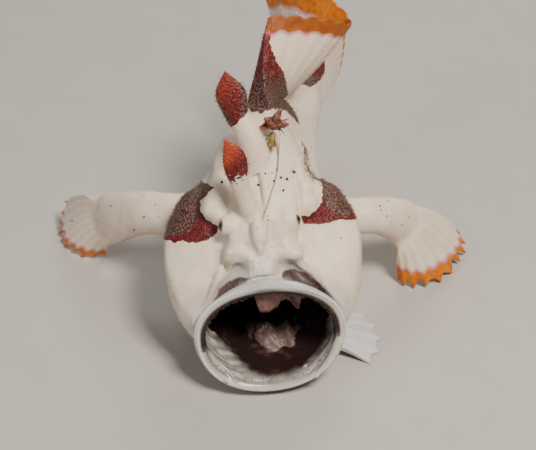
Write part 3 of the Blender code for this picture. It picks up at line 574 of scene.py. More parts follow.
def foot_source(foot):
    roots, tips = [], []
    for i in range(PELVIC_RAYS):
        share = i / (PELVIC_RAYS - 1)
        root = np.array(foot.root) + (0.0, foot.root_span * share, 0.0)
        angle = math.radians(foot.angles[0] + (foot.angles[1] - foot.angles[0]) * share)
        length = foot.length * (0.9 + 0.1 * math.sin(math.pi * share))
        tip = root + length * np.array([math.cos(angle), math.sin(angle), 0.0])
        tip[2] = -0.1
        roots.append(root)
        tips.append(tip)
    fan = Fan(np.array(roots), np.array(tips), (0.0, 0.0, 0.8), 1.6, 0.42, 0.4, 0.07)
    return fan_source(f"foot_{foot.side}", fan)


# The dorsal spines and the rod: path, then the widths and depths along it.
SECOND_SPINE = (
    ((-1.5, -10.6, 18.0), (-1.7, -10.4, 20.2), (-3.05, -9.9, 24.3), (-3.6, -9.8, 27.0), (-4.0, -9.6, 29.2),
     (-5.1, -9.4, 31.3)),
    (1.4, 1.25, 1.15, 1.5, 1.35, 0.1),
    (1.5, 1.2, 0.95, 0.85, 0.55, 0.1))
THIRD_SPINE = (
    ((-1.0, -4.8, 22.5), (-1.3, -4.4, 25.4), (-2.6, -3.4, 28.5), (-3.6, -2.8, 30.2), (-4.4, -2.2, 33.1),
     (-5.0, -1.8, 35.9)),
    (1.9, 1.8, 1.5, 1.55, 1.9, 0.12),
    (2.2, 1.8, 1.3, 1.2, 0.8, 0.1))
SPINE_ACROSS = (1.0, 0.0, 0.3)
ILLICIUM_PATH = (
    (-0.9, -13.0, 18.9), (-0.4, -12.2, 20.6), (0.5, -9.95, 22.5), (1.5, -6.55, 24.5), (1.8, -2.8, 27.2))
ILLICIUM_RADIUS = 0.24


def all_sources():
    radii = [ILLICIUM_RADIUS] * len(ILLICIUM_PATH)
    return [
        body_source(),
        *arm_sources(LEFT_ARM),
        *arm_sources(RIGHT_ARM),
        foot_source(LEFT_FOOT),
        foot_source(RIGHT_FOOT),
        fan_source("dorsal", dorsal_fan()),
        fan_source("tail", tail_fan()),
        fan_source("anal", anal_fan()),
        tube("second_spine", *SECOND_SPINE, SPINE_ACROSS),
        tube("third_spine", *THIRD_SPINE, SPINE_ACROSS),
        tube("illicium", ILLICIUM_PATH, radii, radii, (1.0, 0.0, 0.0), sides=12),
    ]


LID_RADIUS = EYE_RADIUS + 0.2
BALL_ROWS = 24
BALL_SIDES = 40


def lid_sources():
    """A ball round each eye, which the lids are formed from."""
    return [ball_source(centre - 0.1 * direction, (LID_RADIUS,) * 3) for _, centre, direction in eye_places()]


def ball_grid(rows, sides):
    """The points of a unit ball from its top down, with their angles from the top and round it."""
    for i in range(rows + 1):
        polar = math.pi * i / rows
        for j in range(sides):
            around = 2 * math.pi * j / sides
            x, y = math.sin(polar) * math.cos(around), math.sin(polar) * math.sin(around)
            yield np.array([x, y, math.cos(polar)]), polar, around


def ball_source(centre, radii):
    points = np.array([point for point, _, _ in ball_grid(BALL_ROWS, BALL_SIDES)])
    rings = points.reshape(-1, BALL_SIDES, 3)[1:-1]
    facts = np.zeros((len(rings), BALL_SIDES, FACT_COUNT))
    return closed_rings("ball", np.array(centre) + rings * np.array(radii), facts)


def eye_places():
    """Side, centre and outward direction of each eye."""
    for side, sign in (("left", 1.0), ("right", -1.0)):
        mirror = np.array([sign, 1.0, 1.0])
        centre, outer = posed([EYE_CENTRE * mirror, (np.array(EYE_CENTRE) + EYE_LOOK) * mirror])
        direction = outer - centre
        yield side, centre, direction / np.linalg.norm(direction)


def placed(name, data):
    """A new object for the data, in the scene."""
    made = bpy.data.objects.new(name, data)
    bpy.context.scene.collection.objects.link(made)
    return made


def soup_of(sources):
    """One mesh of all sources' points and faces, each closed form with its faces turned outward."""
    points, faces, first = [], [], 0
    for source in sources:
        made = bmesh.new()
        verts = [made.verts.new(tuple(p)) for p in source.points]
        for face in source.faces:
            made.faces.new([verts[i] for i in face])
        bmesh.ops.recalc_face_normals(made, faces=made.faces)
        made.verts.index_update()
        points += [tuple(v.co) for v in made.verts]
        faces += [tuple(v.index + first for v in f.verts) for f in made.faces]
        first += len(source.points)
        made.free()
    mesh = bpy.data.meshes.new("soup")
    mesh.from_pydata(points, [], faces)
    return mesh


def voxel_union(sources, voxel):
    """Points and quads of one closed surface round all sources."""
    soup = placed("soup", soup_of(sources))
    change = soup.modifiers.new("voxels", "REMESH")
    change.mode = "VOXEL"
    change.voxel_size = voxel
    change.adaptivity = 0.0
    graph = bpy.context.evaluated_depsgraph_get()
    mesh = bpy.data.meshes.new_from_object(soup.evaluated_get(graph))
    bpy.data.objects.remove(soup)
    flat = np.zeros(len(mesh.vertices) * 3, np.float32)
    mesh.vertices.foreach_get("co", flat)
    loops = np.zeros(len(mesh.loops), np.int32)
    mesh.loops.foreach_get("vertex_index", loops)
    sizes = np.zeros(len(mesh.polygons), np.int32)
    mesh.polygons.foreach_get("loop_total", sizes)
    bpy.data.meshes.remove(mesh)
    if not np.all(sizes == 4):
        raise RuntimeError("the union has faces that are not quads")
    return flat.reshape(-1, 3).astype(float), loops.reshape(-1, 4)


NOWHERE = 1e9
FACTS_REACH = 2.0


def facts_near(source, points):
    """The numbers of the points near a source, their distances from it and its facts there."""
    tree = BVHTree.FromPolygons([tuple(p) for p in source.points], source.faces, all_triangles=True)
    low, high = source.points.min(0) - FACTS_REACH, source.points.max(0) + FACTS_REACH
    numbers, places, indices, distances = [], [], [], []
    for i in np.flatnonzero(np.all((points > low) & (points < high), axis=1)):
        place, _, index, distance = tree.find_nearest(points[i], FACTS_REACH)
        if place is not None:
            numbers.append(i)
            places.append(place)
            indices.append(index)
            distances.append(distance)
    triangles = np.array(source.faces)[indices]
    corner = source.points[triangles]
    a, b, c = corner[:, 1] - corner[:, 0], corner[:, 2] - corner[:, 0], np.array(places) - corner[:, 0]
    aa, ab, bb = np.sum(a * a, 1), np.sum(a * b, 1), np.sum(b * b, 1)
    ca, cb = np.sum(c * a, 1), np.sum(c * b, 1)
    scale = np.maximum(aa * bb - ab * ab, 1e-12)
    u = np.clip((bb * ca - ab * cb) / scale, 0, 1)[:, None]
    v = np.clip((aa * cb - ab * ca) / scale, 0, 1)[:, None]
    values = source.facts[triangles]
    angles = values[:, :, ANGLE]
    turned = angles.max(1) - angles.min(1) > 180
    values[turned, :, ANGLE] += 360 * (angles[turned] < 0)
    found = values[:, 0] * (1 - u - v) + values[:, 1] * u + values[:, 2] * v
    return np.array(numbers), np.array(distances), found


def facts_for(points, sources):
    """For each point the nearest source, its facts there, and how far the next source is."""
    best = np.full(len(points), NOWHERE)
    second = np.full(len(points), NOWHERE)
    owner = np.zeros(len(points), int)
    facts = np.zeros((len(points), FACT_COUNT))
    for number, source in enumerate(sources):
        near, distances, found = facts_near(source, points)
        closer = distances < best[near]
        second[near] = np.where(closer, best[near], np.minimum(second[near], distances))
        taken = near[closer]
        best[taken] = distances[closer]
        owner[taken] = number
        facts[taken] = found[closer]
    return owner, facts, second


def edges_of(quads):
    pairs = np.vstack([quads[:, [0, 1]], quads[:, [1, 2]], quads[:, [2, 3]], quads[:, [3, 0]]])
    pairs.sort(axis=1)
    return np.unique(pairs, axis=0)


def neighbour_mean(values, edges, counts):
    total = np.zeros_like(values)
    for k in range(values.shape[1]):
        total[:, k] = np.bincount(edges[:, 0], values[edges[:, 1], k], len(values))
        total[:, k] += np.bincount(edges[:, 1], values[edges[:, 0], k], len(values))
    return total / counts[:, None]


def smoothed(points, quads, weight, rounds):
    edges = edges_of(quads)
    counts = np.bincount(edges.ravel(), minlength=len(points)).astype(float)
    for _ in range(rounds):
        points = points + (neighbour_mean(points, edges, counts) - points) * weight[:, None]
    return points


def normals_of(points, quads):
    one, two = points[quads[:, 2]] - points[quads[:, 0]], points[quads[:, 3]] - points[quads[:, 1]]
    faces = np.cross(one, two)
    total = np.zeros_like(points)
    for corner in range(4):
        for k in range(3):
            total[:, k] += np.bincount(quads[:, corner], faces[:, k], len(points))
    return total / np.maximum(np.linalg.norm(total, axis=1), 1e-12)[:, None]


def noise_at(points, size, shift=0.0):
    """Smooth noise from -1 to 1, with features about size millimetres across."""
    return np.array([noise.noise((x / size + shift, y / size, z / size)) for x, y, z in points])


def inside(points, outline):
    """Signed distance of flat points from a closed outline, positive inside."""
    outline = np.array(outline, float)
    nearest = np.full(len(points), 1e9)
    crossings = np.zeros(len(points), int)
    for start, end in zip(outline, np.roll(outline, -1, axis=0)):
        along = end - start
        share = np.clip((points - start) @ along / max(along @ along, 1e-9), 0, 1)
        nearest = np.minimum(nearest, np.linalg.norm(points - start - share[:, None] * along, axis=1))
        spans = (start[1] > points[:, 1]) != (end[1] > points[:, 1])
        with np.errstate(divide="ignore", invalid="ignore"):
            at = start[0] + (points[:, 1] - start[1]) * along[0] / along[1]
        crossings += (spans & (points[:, 0] < at)).astype(int)
    return np.where(crossings % 2 == 1, nearest, -nearest)


VIEW_RISE = math.radians(38.0)
CAMERA_TARGET = (0.2, -10.0, 18.7)
CAMERA_DISTANCE = 250.0
PIXEL = 0.1224
FRAME_PIXELS = (536, 450)


def seen(points):
    """Where points show in a picture from the front, 38 degrees up, in its pixels across and down."""
    x, y, z = (points - CAMERA_TARGET).T
    up = y * math.sin(VIEW_RISE) + z * math.cos(VIEW_RISE)
    away = CAMERA_DISTANCE + y * math.cos(VIEW_RISE) - z * math.sin(VIEW_RISE)
    scale = CAMERA_DISTANCE / away / PIXEL
    return np.column_stack([FRAME_PIXELS[0] / 2 + x * scale, FRAME_PIXELS[1] / 2 - up * scale])


def facing_view(normals):
    """How squarely each normal faces that picture's camera, from -1 to 1."""
    return -normals[:, 1] * math.cos(VIEW_RISE) + normals[:, 2] * math.sin(VIEW_RISE)


FINS = ("dorsal", "tail", "anal", "hand_left", "hand_right", "foot_left", "foot_right")


class Skin:
    """The skin's points and quads, with the source that each point was made from and its facts there."""

    def __init__(self, points, quads, sources):
        self.points = points
        self.quads = quads
        self.names = {source.name: number for number, source in enumerate(sources)}
        self.owner, self.facts, self.next_source = facts_for(points, sources)
        _, self.y, self.z, self.depth, self.angle, self.margin = self.facts.T
        self.along, self.across = self.facts[:, ALONG], self.facts[:, ACROSS]
        self.settle()

    def settle(self):
        """Works out the normals and the places in the picture for the points as they are."""
        self.normals = normals_of(self.points, self.quads)
        self.flat = seen(self.points)

    def on(self, *parts):
        """Which points belong to the named sources."""
        return np.isin(self.owner, [self.names[part] for part in parts])

    def into(self, outline):
        """Signed distance in millimetres of each point into an outline in the picture."""
        return inside(self.flat, outline) * PIXEL


# Outlines of the markings in that picture. Where the skin turns away they run on past its edge.
RIGHT_CHEEK_PATCH = (
    (150, 240), (169, 240), (175, 243), (183, 241), (195, 243), (208, 240), (217, 232), (220, 226),
    (213, 224), (206, 219), (200, 210), (201, 202), (208, 193), (214, 187), (200, 180), (185, 160),
    (150, 160))
LEFT_CHEEK_PATCH = (
    (301, 216), (303, 225), (320, 224), (335, 221), (350, 219), (366, 221), (392, 221), (392, 150),
    (335, 150), (320, 177), (323, 190), (322, 201), (319, 207), (310, 215))
RIGHT_DUSTY_PART = (
    (150, 238), (173, 236), (182, 234), (189, 231), (193, 226), (198, 220), (199, 213), (198, 204),
    (204, 195), (214, 184), (214, 150), (150, 150))
LEFT_DUSTY_PART = (
    (321, 150), (322, 180), (324, 195), (326, 207), (332, 211), (336, 216), (344, 218), (352, 213),
    (360, 212), (392, 211), (392, 150))
SADDLE = (
    (246, 108), (250, 85), (257, 62), (262, 40), (262, -20), (275, -20), (271, 20), (270, 43), (276, 62),
    (284, 72), (287, 87), (289, 100), (298, 117), (301, 127), (293, 118), (284, 110), (272, 109),
    (262, 113), (252, 112))
RUMP_PATCH = (
    (285, 78), (292, 66), (300, 56), (325, 54), (325, 70), (321, 80), (310, 87), (300, 84), (291, 86))
DOTS = (
    (265.5, 173.5, 1.3), (272, 173, 1.1), (277.3, 169.5, 1.3), (274, 181, 1.5), (281, 177.5, 1.5),
    (287, 179, 1.7), (294, 172, 1.9), (258, 185, 1.5), (283.3, 190.5, 1.5), (222, 182, 1.6),
    (227, 193, 0.6), (264.5, 212, 0.8), (267.5, 216, 1.1), (268, 220, 0.9), (262, 221, 1.1),
    (257, 228, 0.9), (296, 178, 0.7), (341, 238, 1.0), (284, 172, 0.6), (355, 244, 0.6), (186, 262, 0.6),
    (300, 199, 0.7), (388, 201, 0.8), (380, 206, 1.1), (381, 210, 0.9), (377, 220, 0.7), (387, 216, 1.0),
    (409, 217, 0.9), (402, 225, 0.8), (391, 223, 0.6), (111, 206, 1.0), (144, 217, 1.1), (134, 230, 1.1),
    (159, 217, 0.8), (72, 221, 1.0), (155, 205, 0.8), (143, 196, 0.8), (326, 244, 0.6), (348, 262, 0.6),
    (200, 268, 0.5), (179, 252, 0.6))
FRECKLE_LINE = (
    (288, 104), (293, 112), (298, 122), (302, 133), (305, 147), (306, 160), (308, 170), (314, 177),
    (322, 182))
FRECKLE_LINE_WIDTH = 3.0
# The mouth's dark inside in the same picture: within it painted shade makes the lining near-black, outside it
# the lower lip's membrane shows pale.
MOUTH_SHADE_OUTLINE = (
    (216, 338), (219, 322), (226, 309), (238, 299), (252, 293), (270, 290), (290, 292), (306, 297),
    (320, 308), (328, 321), (330, 334), (325, 346), (315, 357), (302, 367), (287, 375), (268, 377),
    (252, 372), (240, 362), (229, 350), (221, 343))


# Patches at the tips of the dorsal spines: where they start along the spine, how fast they deepen,
# how far they slant, and how much of their sides is dusty.
SPINE_PATCHES = (("second_spine", 0.53, 3.2, 0.1, 0.6), ("third_spine", 0.54, 9.0, 0.45, 1.2))


def patch_depth(skin, wobble):
    """Signed distances into the maroon patches and into their dusty parts, in millimetres."""
    y, z, along, across = skin.y, skin.z, skin.along, skin.across
    depth = np.full(len(skin.points), -FAR)
    dusty = np.full(len(skin.points), -FAR)
    outside = skin.on("body") & (skin.depth < -1.0)
    room = np.minimum(z - 12.3, 0.6 - y)
    for outline, part in ((RIGHT_CHEEK_PATCH, RIGHT_DUSTY_PART), (LEFT_CHEEK_PATCH, LEFT_DUSTY_PART)):
        depth = np.where(outside, np.maximum(depth, np.minimum(skin.into(outline), room)), depth)
        dusty = np.where(outside, np.maximum(dusty, skin.into(part)), dusty)
    dorsal = skin.on("dorsal")
    saddle, rump = skin.into(SADDLE), skin.into(RUMP_PATCH)
    on_back = np.minimum.reduce([saddle, y + 2.5, 12.0 - y, z - 19.0])
    depth = np.where(outside, np.maximum.reduce([depth, on_back, np.minimum(rump, y - 17.0)]), depth)
    on_fin = np.maximum(np.minimum(saddle, 5.0 - across), np.minimum(rump, across - 8.0))
    depth = np.where(dorsal, on_fin, depth)
    depth = np.where(skin.on("tail"), np.minimum(rump, 0.4 - along), depth)
    fading = 0.5 - along * 1.1 * (dorsal & (across < 6.0)) + 0.35 * noise_at(skin.points, 0.7, 9.0)
    dusty = np.where(dorsal | (outside & (y > 1.0)), fading, dusty)
    for name, start, slope, slant, dust in SPINE_PATCHES:
        here = skin.on(name)
        depth = np.where(here, (along - start) * slope - slant * across, depth)
        dusty = np.where(here, np.abs(across) * dust - 0.75 + (0.7 - along) * 1.4, dusty)
    ragged = skin.on("second_spine") & (depth < 0.8)
    depth = np.where(ragged, depth + 0.4 * noise_at(skin.points, 0.3, 2.0), depth)
    return depth + wobble, dusty + wobble


def dot_depth(skin):
    """Signed distance into the small dark dots on the face, and into the brown freckles of the nape."""
    dots = np.full(len(skin.points), -1.0)
    for across, down, radius in DOTS:
        near = radius - np.hypot(skin.flat[:, 0] - across, skin.flat[:, 1] - down)
        dots = np.maximum(dots, near * PIXEL)
    line = (FRECKLE_LINE_WIDTH - line_distance(skin.flat, FRECKLE_LINE)) * PIXEL
    facing = facing_view(skin.normals)
    marked = (facing > 0.15) & ~skin.on("illicium")
    crown = skin.on("body") & (facing > 0.05) & (skin.points[:, 1] < 9.0) & (skin.points[:, 2] > 15.0)
    return np.where(marked, dots, -1.0), np.where(crown, line, -1.0)


# Lines of the face in the same picture: the grooves beside the windows, the fibrous pillar of the snout,
# with the place that its fibres fan out from, and the hollows on both sides of it; grooves and hollows get
# painted shade.
WINDOW_GROOVES = (((292, 268), (308, 280), (322, 294), (336, 311)), ((238, 270), (226, 285), (216, 299), (208, 313)))
PILLAR_LINE = ((262, 262), (262, 270), (260, 278))
PILLAR_ORIGIN = (262.0, 236.0)
HOLLOW_LINES = (((231, 264), (241, 268)), ((283, 264), (300, 267)))

# Folds of the face in the same picture: the line, its half width in pixels, its height in millimetres
# and the power of its bell, where 5 gives a flat top.
FACE_FOLDS = (
    (((258, 228), (260, 238)), 7.5, 0.60, 2),
    (((248.5, 224), (250, 240), (255, 251)), 3.6, -0.32, 2),
    (((270.5, 224), (269.5, 240), (265, 251)), 3.6, -0.32, 2),
    (((246, 247), (254, 252), (261, 254), (270, 251), (280, 247)), 4.0, -0.30, 2),
    (((244, 188), (250, 203), (256, 219)), 6.0, 0.40, 2),
    (((253, 162), (257, 180), (260, 200), (262, 217)), 3.2, -0.50, 2),
    (((276, 150), (284, 180), (288, 206), (285, 228)), 11.0, 0.55, 2),
    (((294, 172), (298, 190), (300, 208), (302, 226), (300, 240)), 3.2, -0.55, 2),
    (((229, 198), (225, 212), (223, 226), (224, 244)), 4.6, -0.50, 2),
    (((221, 182), (212, 197), (208, 211)), 7.5, 0.60, 2),
    (((306, 184), (315, 195), (312, 208)), 8.0, 0.35, 2),
    (((229, 250), (239, 252), (247, 256)), 7.5, 0.36, 2),
    (((274, 256), (284, 251), (297, 251)), 8.0, 0.36, 2),
    (((262, 262), (262, 270), (260, 280)), 14.0, 0.70, 5),
    (((231, 266), (241, 268)), 8.0, -0.38, 2),
    (((284, 265), (298, 268)), 8.0, -0.38, 2),
    (((296, 255), (312, 271), (326, 287), (338, 303), (345, 316)), 3.4, 0.50, 2),
    (((231, 254), (222, 268), (214, 288), (206, 306), (202, 316)), 3.4, 0.50, 2),
    (WINDOW_GROOVES[0], 6.0, -0.42, 2),
    (WINDOW_GROOVES[1], 6.0, -0.42, 2),
    (((230, 290), (244, 284)), 4.0, -0.45, 2),
    (((287, 279), (300, 282), (314, 290), (325, 299)), 4.2, -0.55, 2),
    (((300, 172), (303, 150), (298, 132)), 4.0, 0.30, 2),
)
LIP_FOLDS = (
    (((203, 338), (213, 357), (236, 380)), 1.7, 0.30, 2),
    (((209, 335), (222, 354), (246, 376)), 1.5, -0.28, 2),
    (((213, 333), (228, 352), (250, 372)), 1.5, 0.28, 2),
    (((200, 348), (208, 366), (226, 384)), 1.4, -0.22, 2),
    (((337, 338), (330, 356), (316, 376)), 1.7, 0.30, 2),
    (((333, 334), (324, 352), (309, 372)), 1.5, -0.28, 2),
    (((328, 332), (318, 350), (303, 368)), 1.5, 0.28, 2),
    (((341, 346), (335, 362), (322, 378)), 1.4, -0.22, 2),
)


def fold_heights(flat, folds):
    heights = np.zeros(len(flat))
    for line, half_width, height, power in folds:
        heights += height * bell(line_distance(flat, line), half_width, power)
    return heights


def press_folds(skin):
    """Presses the folds of the face and of the lower lip into the skin."""
    flat = seen(skin.points)
    front = eased(facing_view(skin.normals), 0.05, 0.4) * skin.on("body")
    face = front * eased(-skin.depth, 0.6, 2.4) * eased(skin.z, 9.0, 12.0)
    rim = front * eased(skin.depth, -1.5, -0.5) * eased(np.abs(skin.angle), 90, 110)
    heights = fold_heights(flat, FACE_FOLDS) * face + fold_heights(flat, LIP_FOLDS) * rim
    skin.points = skin.points + skin.normals * heights[:, None]


def mixed(first, second, share):
    """The first colours, moved towards the second by a share for each point."""
    first, second = np.array(first, float), np.array(second, float)
    return first + (second - first) * np.asarray(share, float)[:, None]


WHITE = (0.76, 0.62, 0.485)
ROSY_WHITE = (0.66, 0.48, 0.40)
CHALKY_WHITE = (0.62, 0.60, 0.56)
SHADED_WHITE = (0.54, 0.44, 0.38)
# Painted shade for skin that faces down.
UNDERSIDE_SHADE = (0.58, 0.52, 0.46)
COOL_WHITE = (0.52, 0.56, 0.60)
WEB_GREY = (0.58, 0.48, 0.42)
MEMBRANE = (0.44, 0.41, 0.41)
# Painted shade for the grooves beside the windows.
GROOVE_SHADE = (0.24, 0.20, 0.20)
PILLAR = (0.76, 0.69, 0.61)
PILLAR_FIBRE = (0.40, 0.38, 0.36)
# Painted shade for the hollows beside the pillar.
HOLLOW_SHADE = (0.24, 0.215, 0.205)
# Near-black painted shade for the windows beside the pillar.
WINDOW_SHADE = (0.040, 0.013, 0.016)
UPPER_LIP = (0.50, 0.495, 0.49)
UPPER_LIP_STRIPE = (0.15, 0.15, 0.17)
# A painted highlight along the upper lip's crest.
UPPER_LIP_HIGHLIGHT = (0.72, 0.70, 0.68)
LOWER_LIP = (0.36, 0.35, 0.33)
# Pale streaks of the lower lip: partly its fine pale lines, partly painted highlights.
LOWER_LIP_STREAK_AND_HIGHLIGHT = (0.60, 0.59, 0.56)
# A painted highlight on the lower lip's lit crest.
LOWER_LIP_CREST_HIGHLIGHT = (0.66, 0.66, 0.64)
GUM_SHADE = (0.21, 0.195, 0.175)
# Pale streaks of the membrane inside the lower lip: partly its fine pale lines, partly painted highlights
# along its folds.
GUM_PALE_AND_HIGHLIGHT = (0.52, 0.51, 0.48)
PALATE = (0.28, 0.12, 0.10)
# Painted shade: the near-black of the deep mouth, laid on its lining.
PAINTED_MOUTH_SHADE = (0.020, 0.010, 0.009)
PINK_FLESH = (0.36, 0.13, 0.11)
# Outlines in the same picture of the places beside the pillar that are painted near-black, as painted shade
# in the grooves there.
WINDOWS = (
    ((211, 306), (219, 290), (229, 281), (241, 277), (252, 279), (252, 289), (241, 294), (228, 301)),
    ((281, 284), (284, 272), (294, 269), (306, 273), (320, 284), (338, 307), (324, 304), (312, 297),
     (298, 291)))


def upper_part(skin):
    """1 round the upper jaw, 0 round the lower."""
    return faded(np.abs(skin.angle), 92, 112)


def snout_tints(skin, slow, medium):
    """Tints of the thin skin round the snout, with painted shade in its windows, grooves and hollows, and of
    its fibrous pillar.
    """
    outside = skin.on("body") * eased(-skin.depth, 0.9, 1.3)
    face = outside * eased(facing_view(skin.normals), -0.15, 0.1) * eased(skin.z, 4.0, 6.0)
    rays = 0.5 + 0.3 * np.sin(skin.angle * 1.5 + 3.0 * medium + 0.3 * skin.depth)
    rays += 0.2 * np.sin(skin.angle * 3.7 + 4.0 * slow)
    window_shading = np.maximum.reduce([inside(skin.flat, outline) for outline in WINDOWS])
    window_shading = face * eased(window_shading + 1.6 * medium, -1.6, 0.8)
    groove_shade = face * sum(bell(line_distance(skin.flat, line), 5.5) for line in WINDOW_GROOVES)
    pillar = face * bell(line_distance(skin.flat, PILLAR_LINE), 13.0, 3)
    below = np.maximum(skin.flat[:, 1] - PILLAR_ORIGIN[1], 4.0)
    fan = np.arctan2(skin.flat[:, 0] - PILLAR_ORIGIN[0], below)
    fibres = 0.5 + 0.3 * np.sin(fan * 52 + 3.0 * medium) + 0.2 * np.sin(fan * 131 + 5.0 * slow)
    hollow = np.minimum.reduce([line_distance(skin.flat, line) for line in HOLLOW_LINES])
    return [
        (MEMBRANE, outside * upper_part(skin) * faded(-skin.depth, 3.6, 5.2) * 0.55),
        # Painted shade along the grooves beside the windows.
        (GROOVE_SHADE, np.clip(groove_shade, 0, 1) * (1.0 - window_shading) * (0.15 + 0.30 * rays)),
        (PILLAR, pillar * 0.85),
        (PILLAR_FIBRE, pillar * eased(fibres, 0.3, 0.9) * 0.55),
        # Painted shade in the hollows beside the pillar.
        (HOLLOW_SHADE, face * bell(hollow, 5.5) * 0.5),
        # Painted shade: near-black in the windows beside the pillar.
        (WINDOW_SHADE, window_shading * (1.0 - 0.10 * rays)),
    ]


def mouth_tints(skin, slow, medium):
    """Tints of the striped upper lip, the streaked lower lip, and the gums, palate and lining inside, with
    painted highlights on the lips and painted shade on the lining and underside.
    """
    body, depth, angle = skin.on("body"), skin.depth, skin.angle
    side = np.abs(angle)
    upper = upper_part(skin)
    lower = 1.0 - upper
    middle = faded(side, 12, 45)
    lip = body * upper * bell(depth + 0.30 + 0.25 * middle, 0.62 + 0.35 * middle, 4)
    ripple = depth * LIP_RIPPLE + angle * LIP_RIPPLE_SLANT
    stripe = eased(np.sin(ripple + 1.0 + 1.6 * slow + 0.7 * medium), 0.0, 0.8)
    rim = body * lower * eased(depth, -5.5, -0.8)
    radial = 0.45 + 0.25 * np.sin(np.radians(angle) * 190 + 1.0 * medium)
    along_lip = 0.5 + 0.5 * np.sin(depth * 5.0 + 0.6 * medium + 0.05 * angle)
    streaks = along_lip + (radial - along_lip) * eased(side, 146, 162)
    inner = body * np.where(side > 100, eased(depth, 0.25, 0.9), eased(depth, 0.10, 0.45))
    pale = lower * faded(skin.into(MOUTH_SHADE_OUTLINE) + 0.4 * medium, -0.7, 0.5) * (depth < 8.0)
    # Streaks on the membrane inside the lower lip: partly its fine pale lines, partly painted highlights.
    gum = mixed(GUM_SHADE, GUM_PALE_AND_HIGHLIGHT, 0.7 * eased(streaks + 0.25 * medium, 0.15, 1.1))
    lining = mixed(PAINTED_MOUTH_SHADE, PINK_FLESH, eased(medium + slow, 0.3, 0.8) * 0.12)
    palate = eased(depth, 0.9, 1.5) * faded(depth, 3.0 + 1.6 * medium, 3.8 + 1.6 * medium)
    return [
        (UPPER_LIP, lip),
        (UPPER_LIP_STRIPE, lip * stripe * (0.85 - 0.55 * middle)),
        # Painted highlight along the upper lip's crest.
        (UPPER_LIP_HIGHLIGHT, lip * bell(depth + 0.32, 0.10) * 0.8),
        (LOWER_LIP, rim * 0.80),
        # Streaks on the lower lip: partly its fine pale lines, partly painted highlights.
        (LOWER_LIP_STREAK_AND_HIGHLIGHT, rim * eased(streaks + 0.2 * medium, 0.35, 0.95) * 0.40),
        # Painted highlight on the lower lip's crest.
        (LOWER_LIP_CREST_HIGHLIGHT, body * lower * bell(depth + 0.05, 0.28) * 0.8),
        # Painted shade: the lining is near-black within the mouth's dark outline, with the pale membrane by
        # the lower lip outside it.
        (mixed(lining, gum, pale), inner),
        (PALATE, inner * palate * faded(side, 22, 46) * upper * 0.8),
        # Painted shade: skin that faces down is greyed.
        (UNDERSIDE_SHADE, body * eased(-skin.normals[:, 2], 0.2, 0.9) * (depth < -2) * 0.5),
    ]


def fin_tints(skin):
    """Tints of the feet and of the webs between rays."""
    off_ray = np.abs((skin.across + 0.5) % 1.0 - 0.5)
    past_root = eased(skin.along, 0.1, 0.4)
    web = skin.on(*FINS) * eased(off_ray, 0.15, 0.42) * past_root * (1.0 - 0.6 * skin.on("dorsal"))
    return [(COOL_WHITE, skin.on("foot_left", "foot_right") * past_root * 0.9), (WEB_GREY, web * 0.40)]


def tones(skin):
    """The slow colour changes of the skin: warm and cool whites, lips, gums and mouth lining, with painted
    shade and highlights.
    """
    slow = noise_at(skin.points, 3.2)
    medium = noise_at(skin.points, 1.1, 5.0)
    tints = [
        (ROSY_WHITE, eased(slow, 0.0, 0.6) * 0.40),
        (CHALKY_WHITE, eased(-slow, 0.1, 0.6) * 0.35),
        (SHADED_WHITE, eased(medium, 0.15, 0.6) * 0.20),
        *snout_tints(skin, slow, medium),
        *mouth_tints(skin, slow, medium),
        *fin_tints(skin),
    ]
    colour = np.tile(np.array(WHITE), (len(skin.points), 1))
    for tint, share in tints:
        colour = mixed(colour, tint, share)
    return np.clip(colour, 0.0, 1.0)


def skin_details(skin):
    """Height of pores, soft lumps and folds, in millimetres."""
    outside = skin.on("body") & (skin.depth < -3.0)
    heights = 0.10 * noise_at(skin.points, 2.6, 3.0) * outside
    heights += 0.035 * noise_at(skin.points, 0.9, 8.0) * outside
    heights += 0.05 * noise_at(skin.points, 1.2, 2.0) * (skin.on("body") & (skin.depth > 1.0))
    heights += 0.10 * noise_at(skin.points, 2.0, 6.0) * skin.on("arm_left", "arm_right")
    return heights


def open_lids(points):
    """Lays the skin over each eye as a lid, with an upright almond opening that its pupil looks out of."""
    for _, centre, direction in eye_places():
        across_eye = np.cross((0.0, 0.0, 1.0), direction)
        across_eye /= np.linalg.norm(across_eye)
        up_eye = np.cross(direction, across_eye)
        offset = points - centre
        radius = np.linalg.norm(offset, axis=1)
        near = (radius < 3.4) & (offset @ direction > -1.0)
        on_ball = offset / np.maximum(radius, 1e-6)[:, None] * EYE_RADIUS
        opening = np.hypot(on_ball @ across_eye / EYE_SLIT[0], on_ball @ up_eye / EYE_SLIT[1])
        opening = np.where(on_ball @ direction > 0.2, opening, FAR)
        cover = EYE_RADIUS + 0.06 + 0.12 * bell(opening - 1.35, 0.35)
        sunk = EYE_RADIUS * 0.80
        wanted = sunk + (cover - sunk) * eased(opening, 0.92, 1.10)
        moved = np.where(opening < 1.10, wanted, np.maximum(radius, cover))
        moved = np.where(near, moved, radius)
        points = centre + offset * (moved / np.maximum(radius, 1e-6))[:, None]
    return points


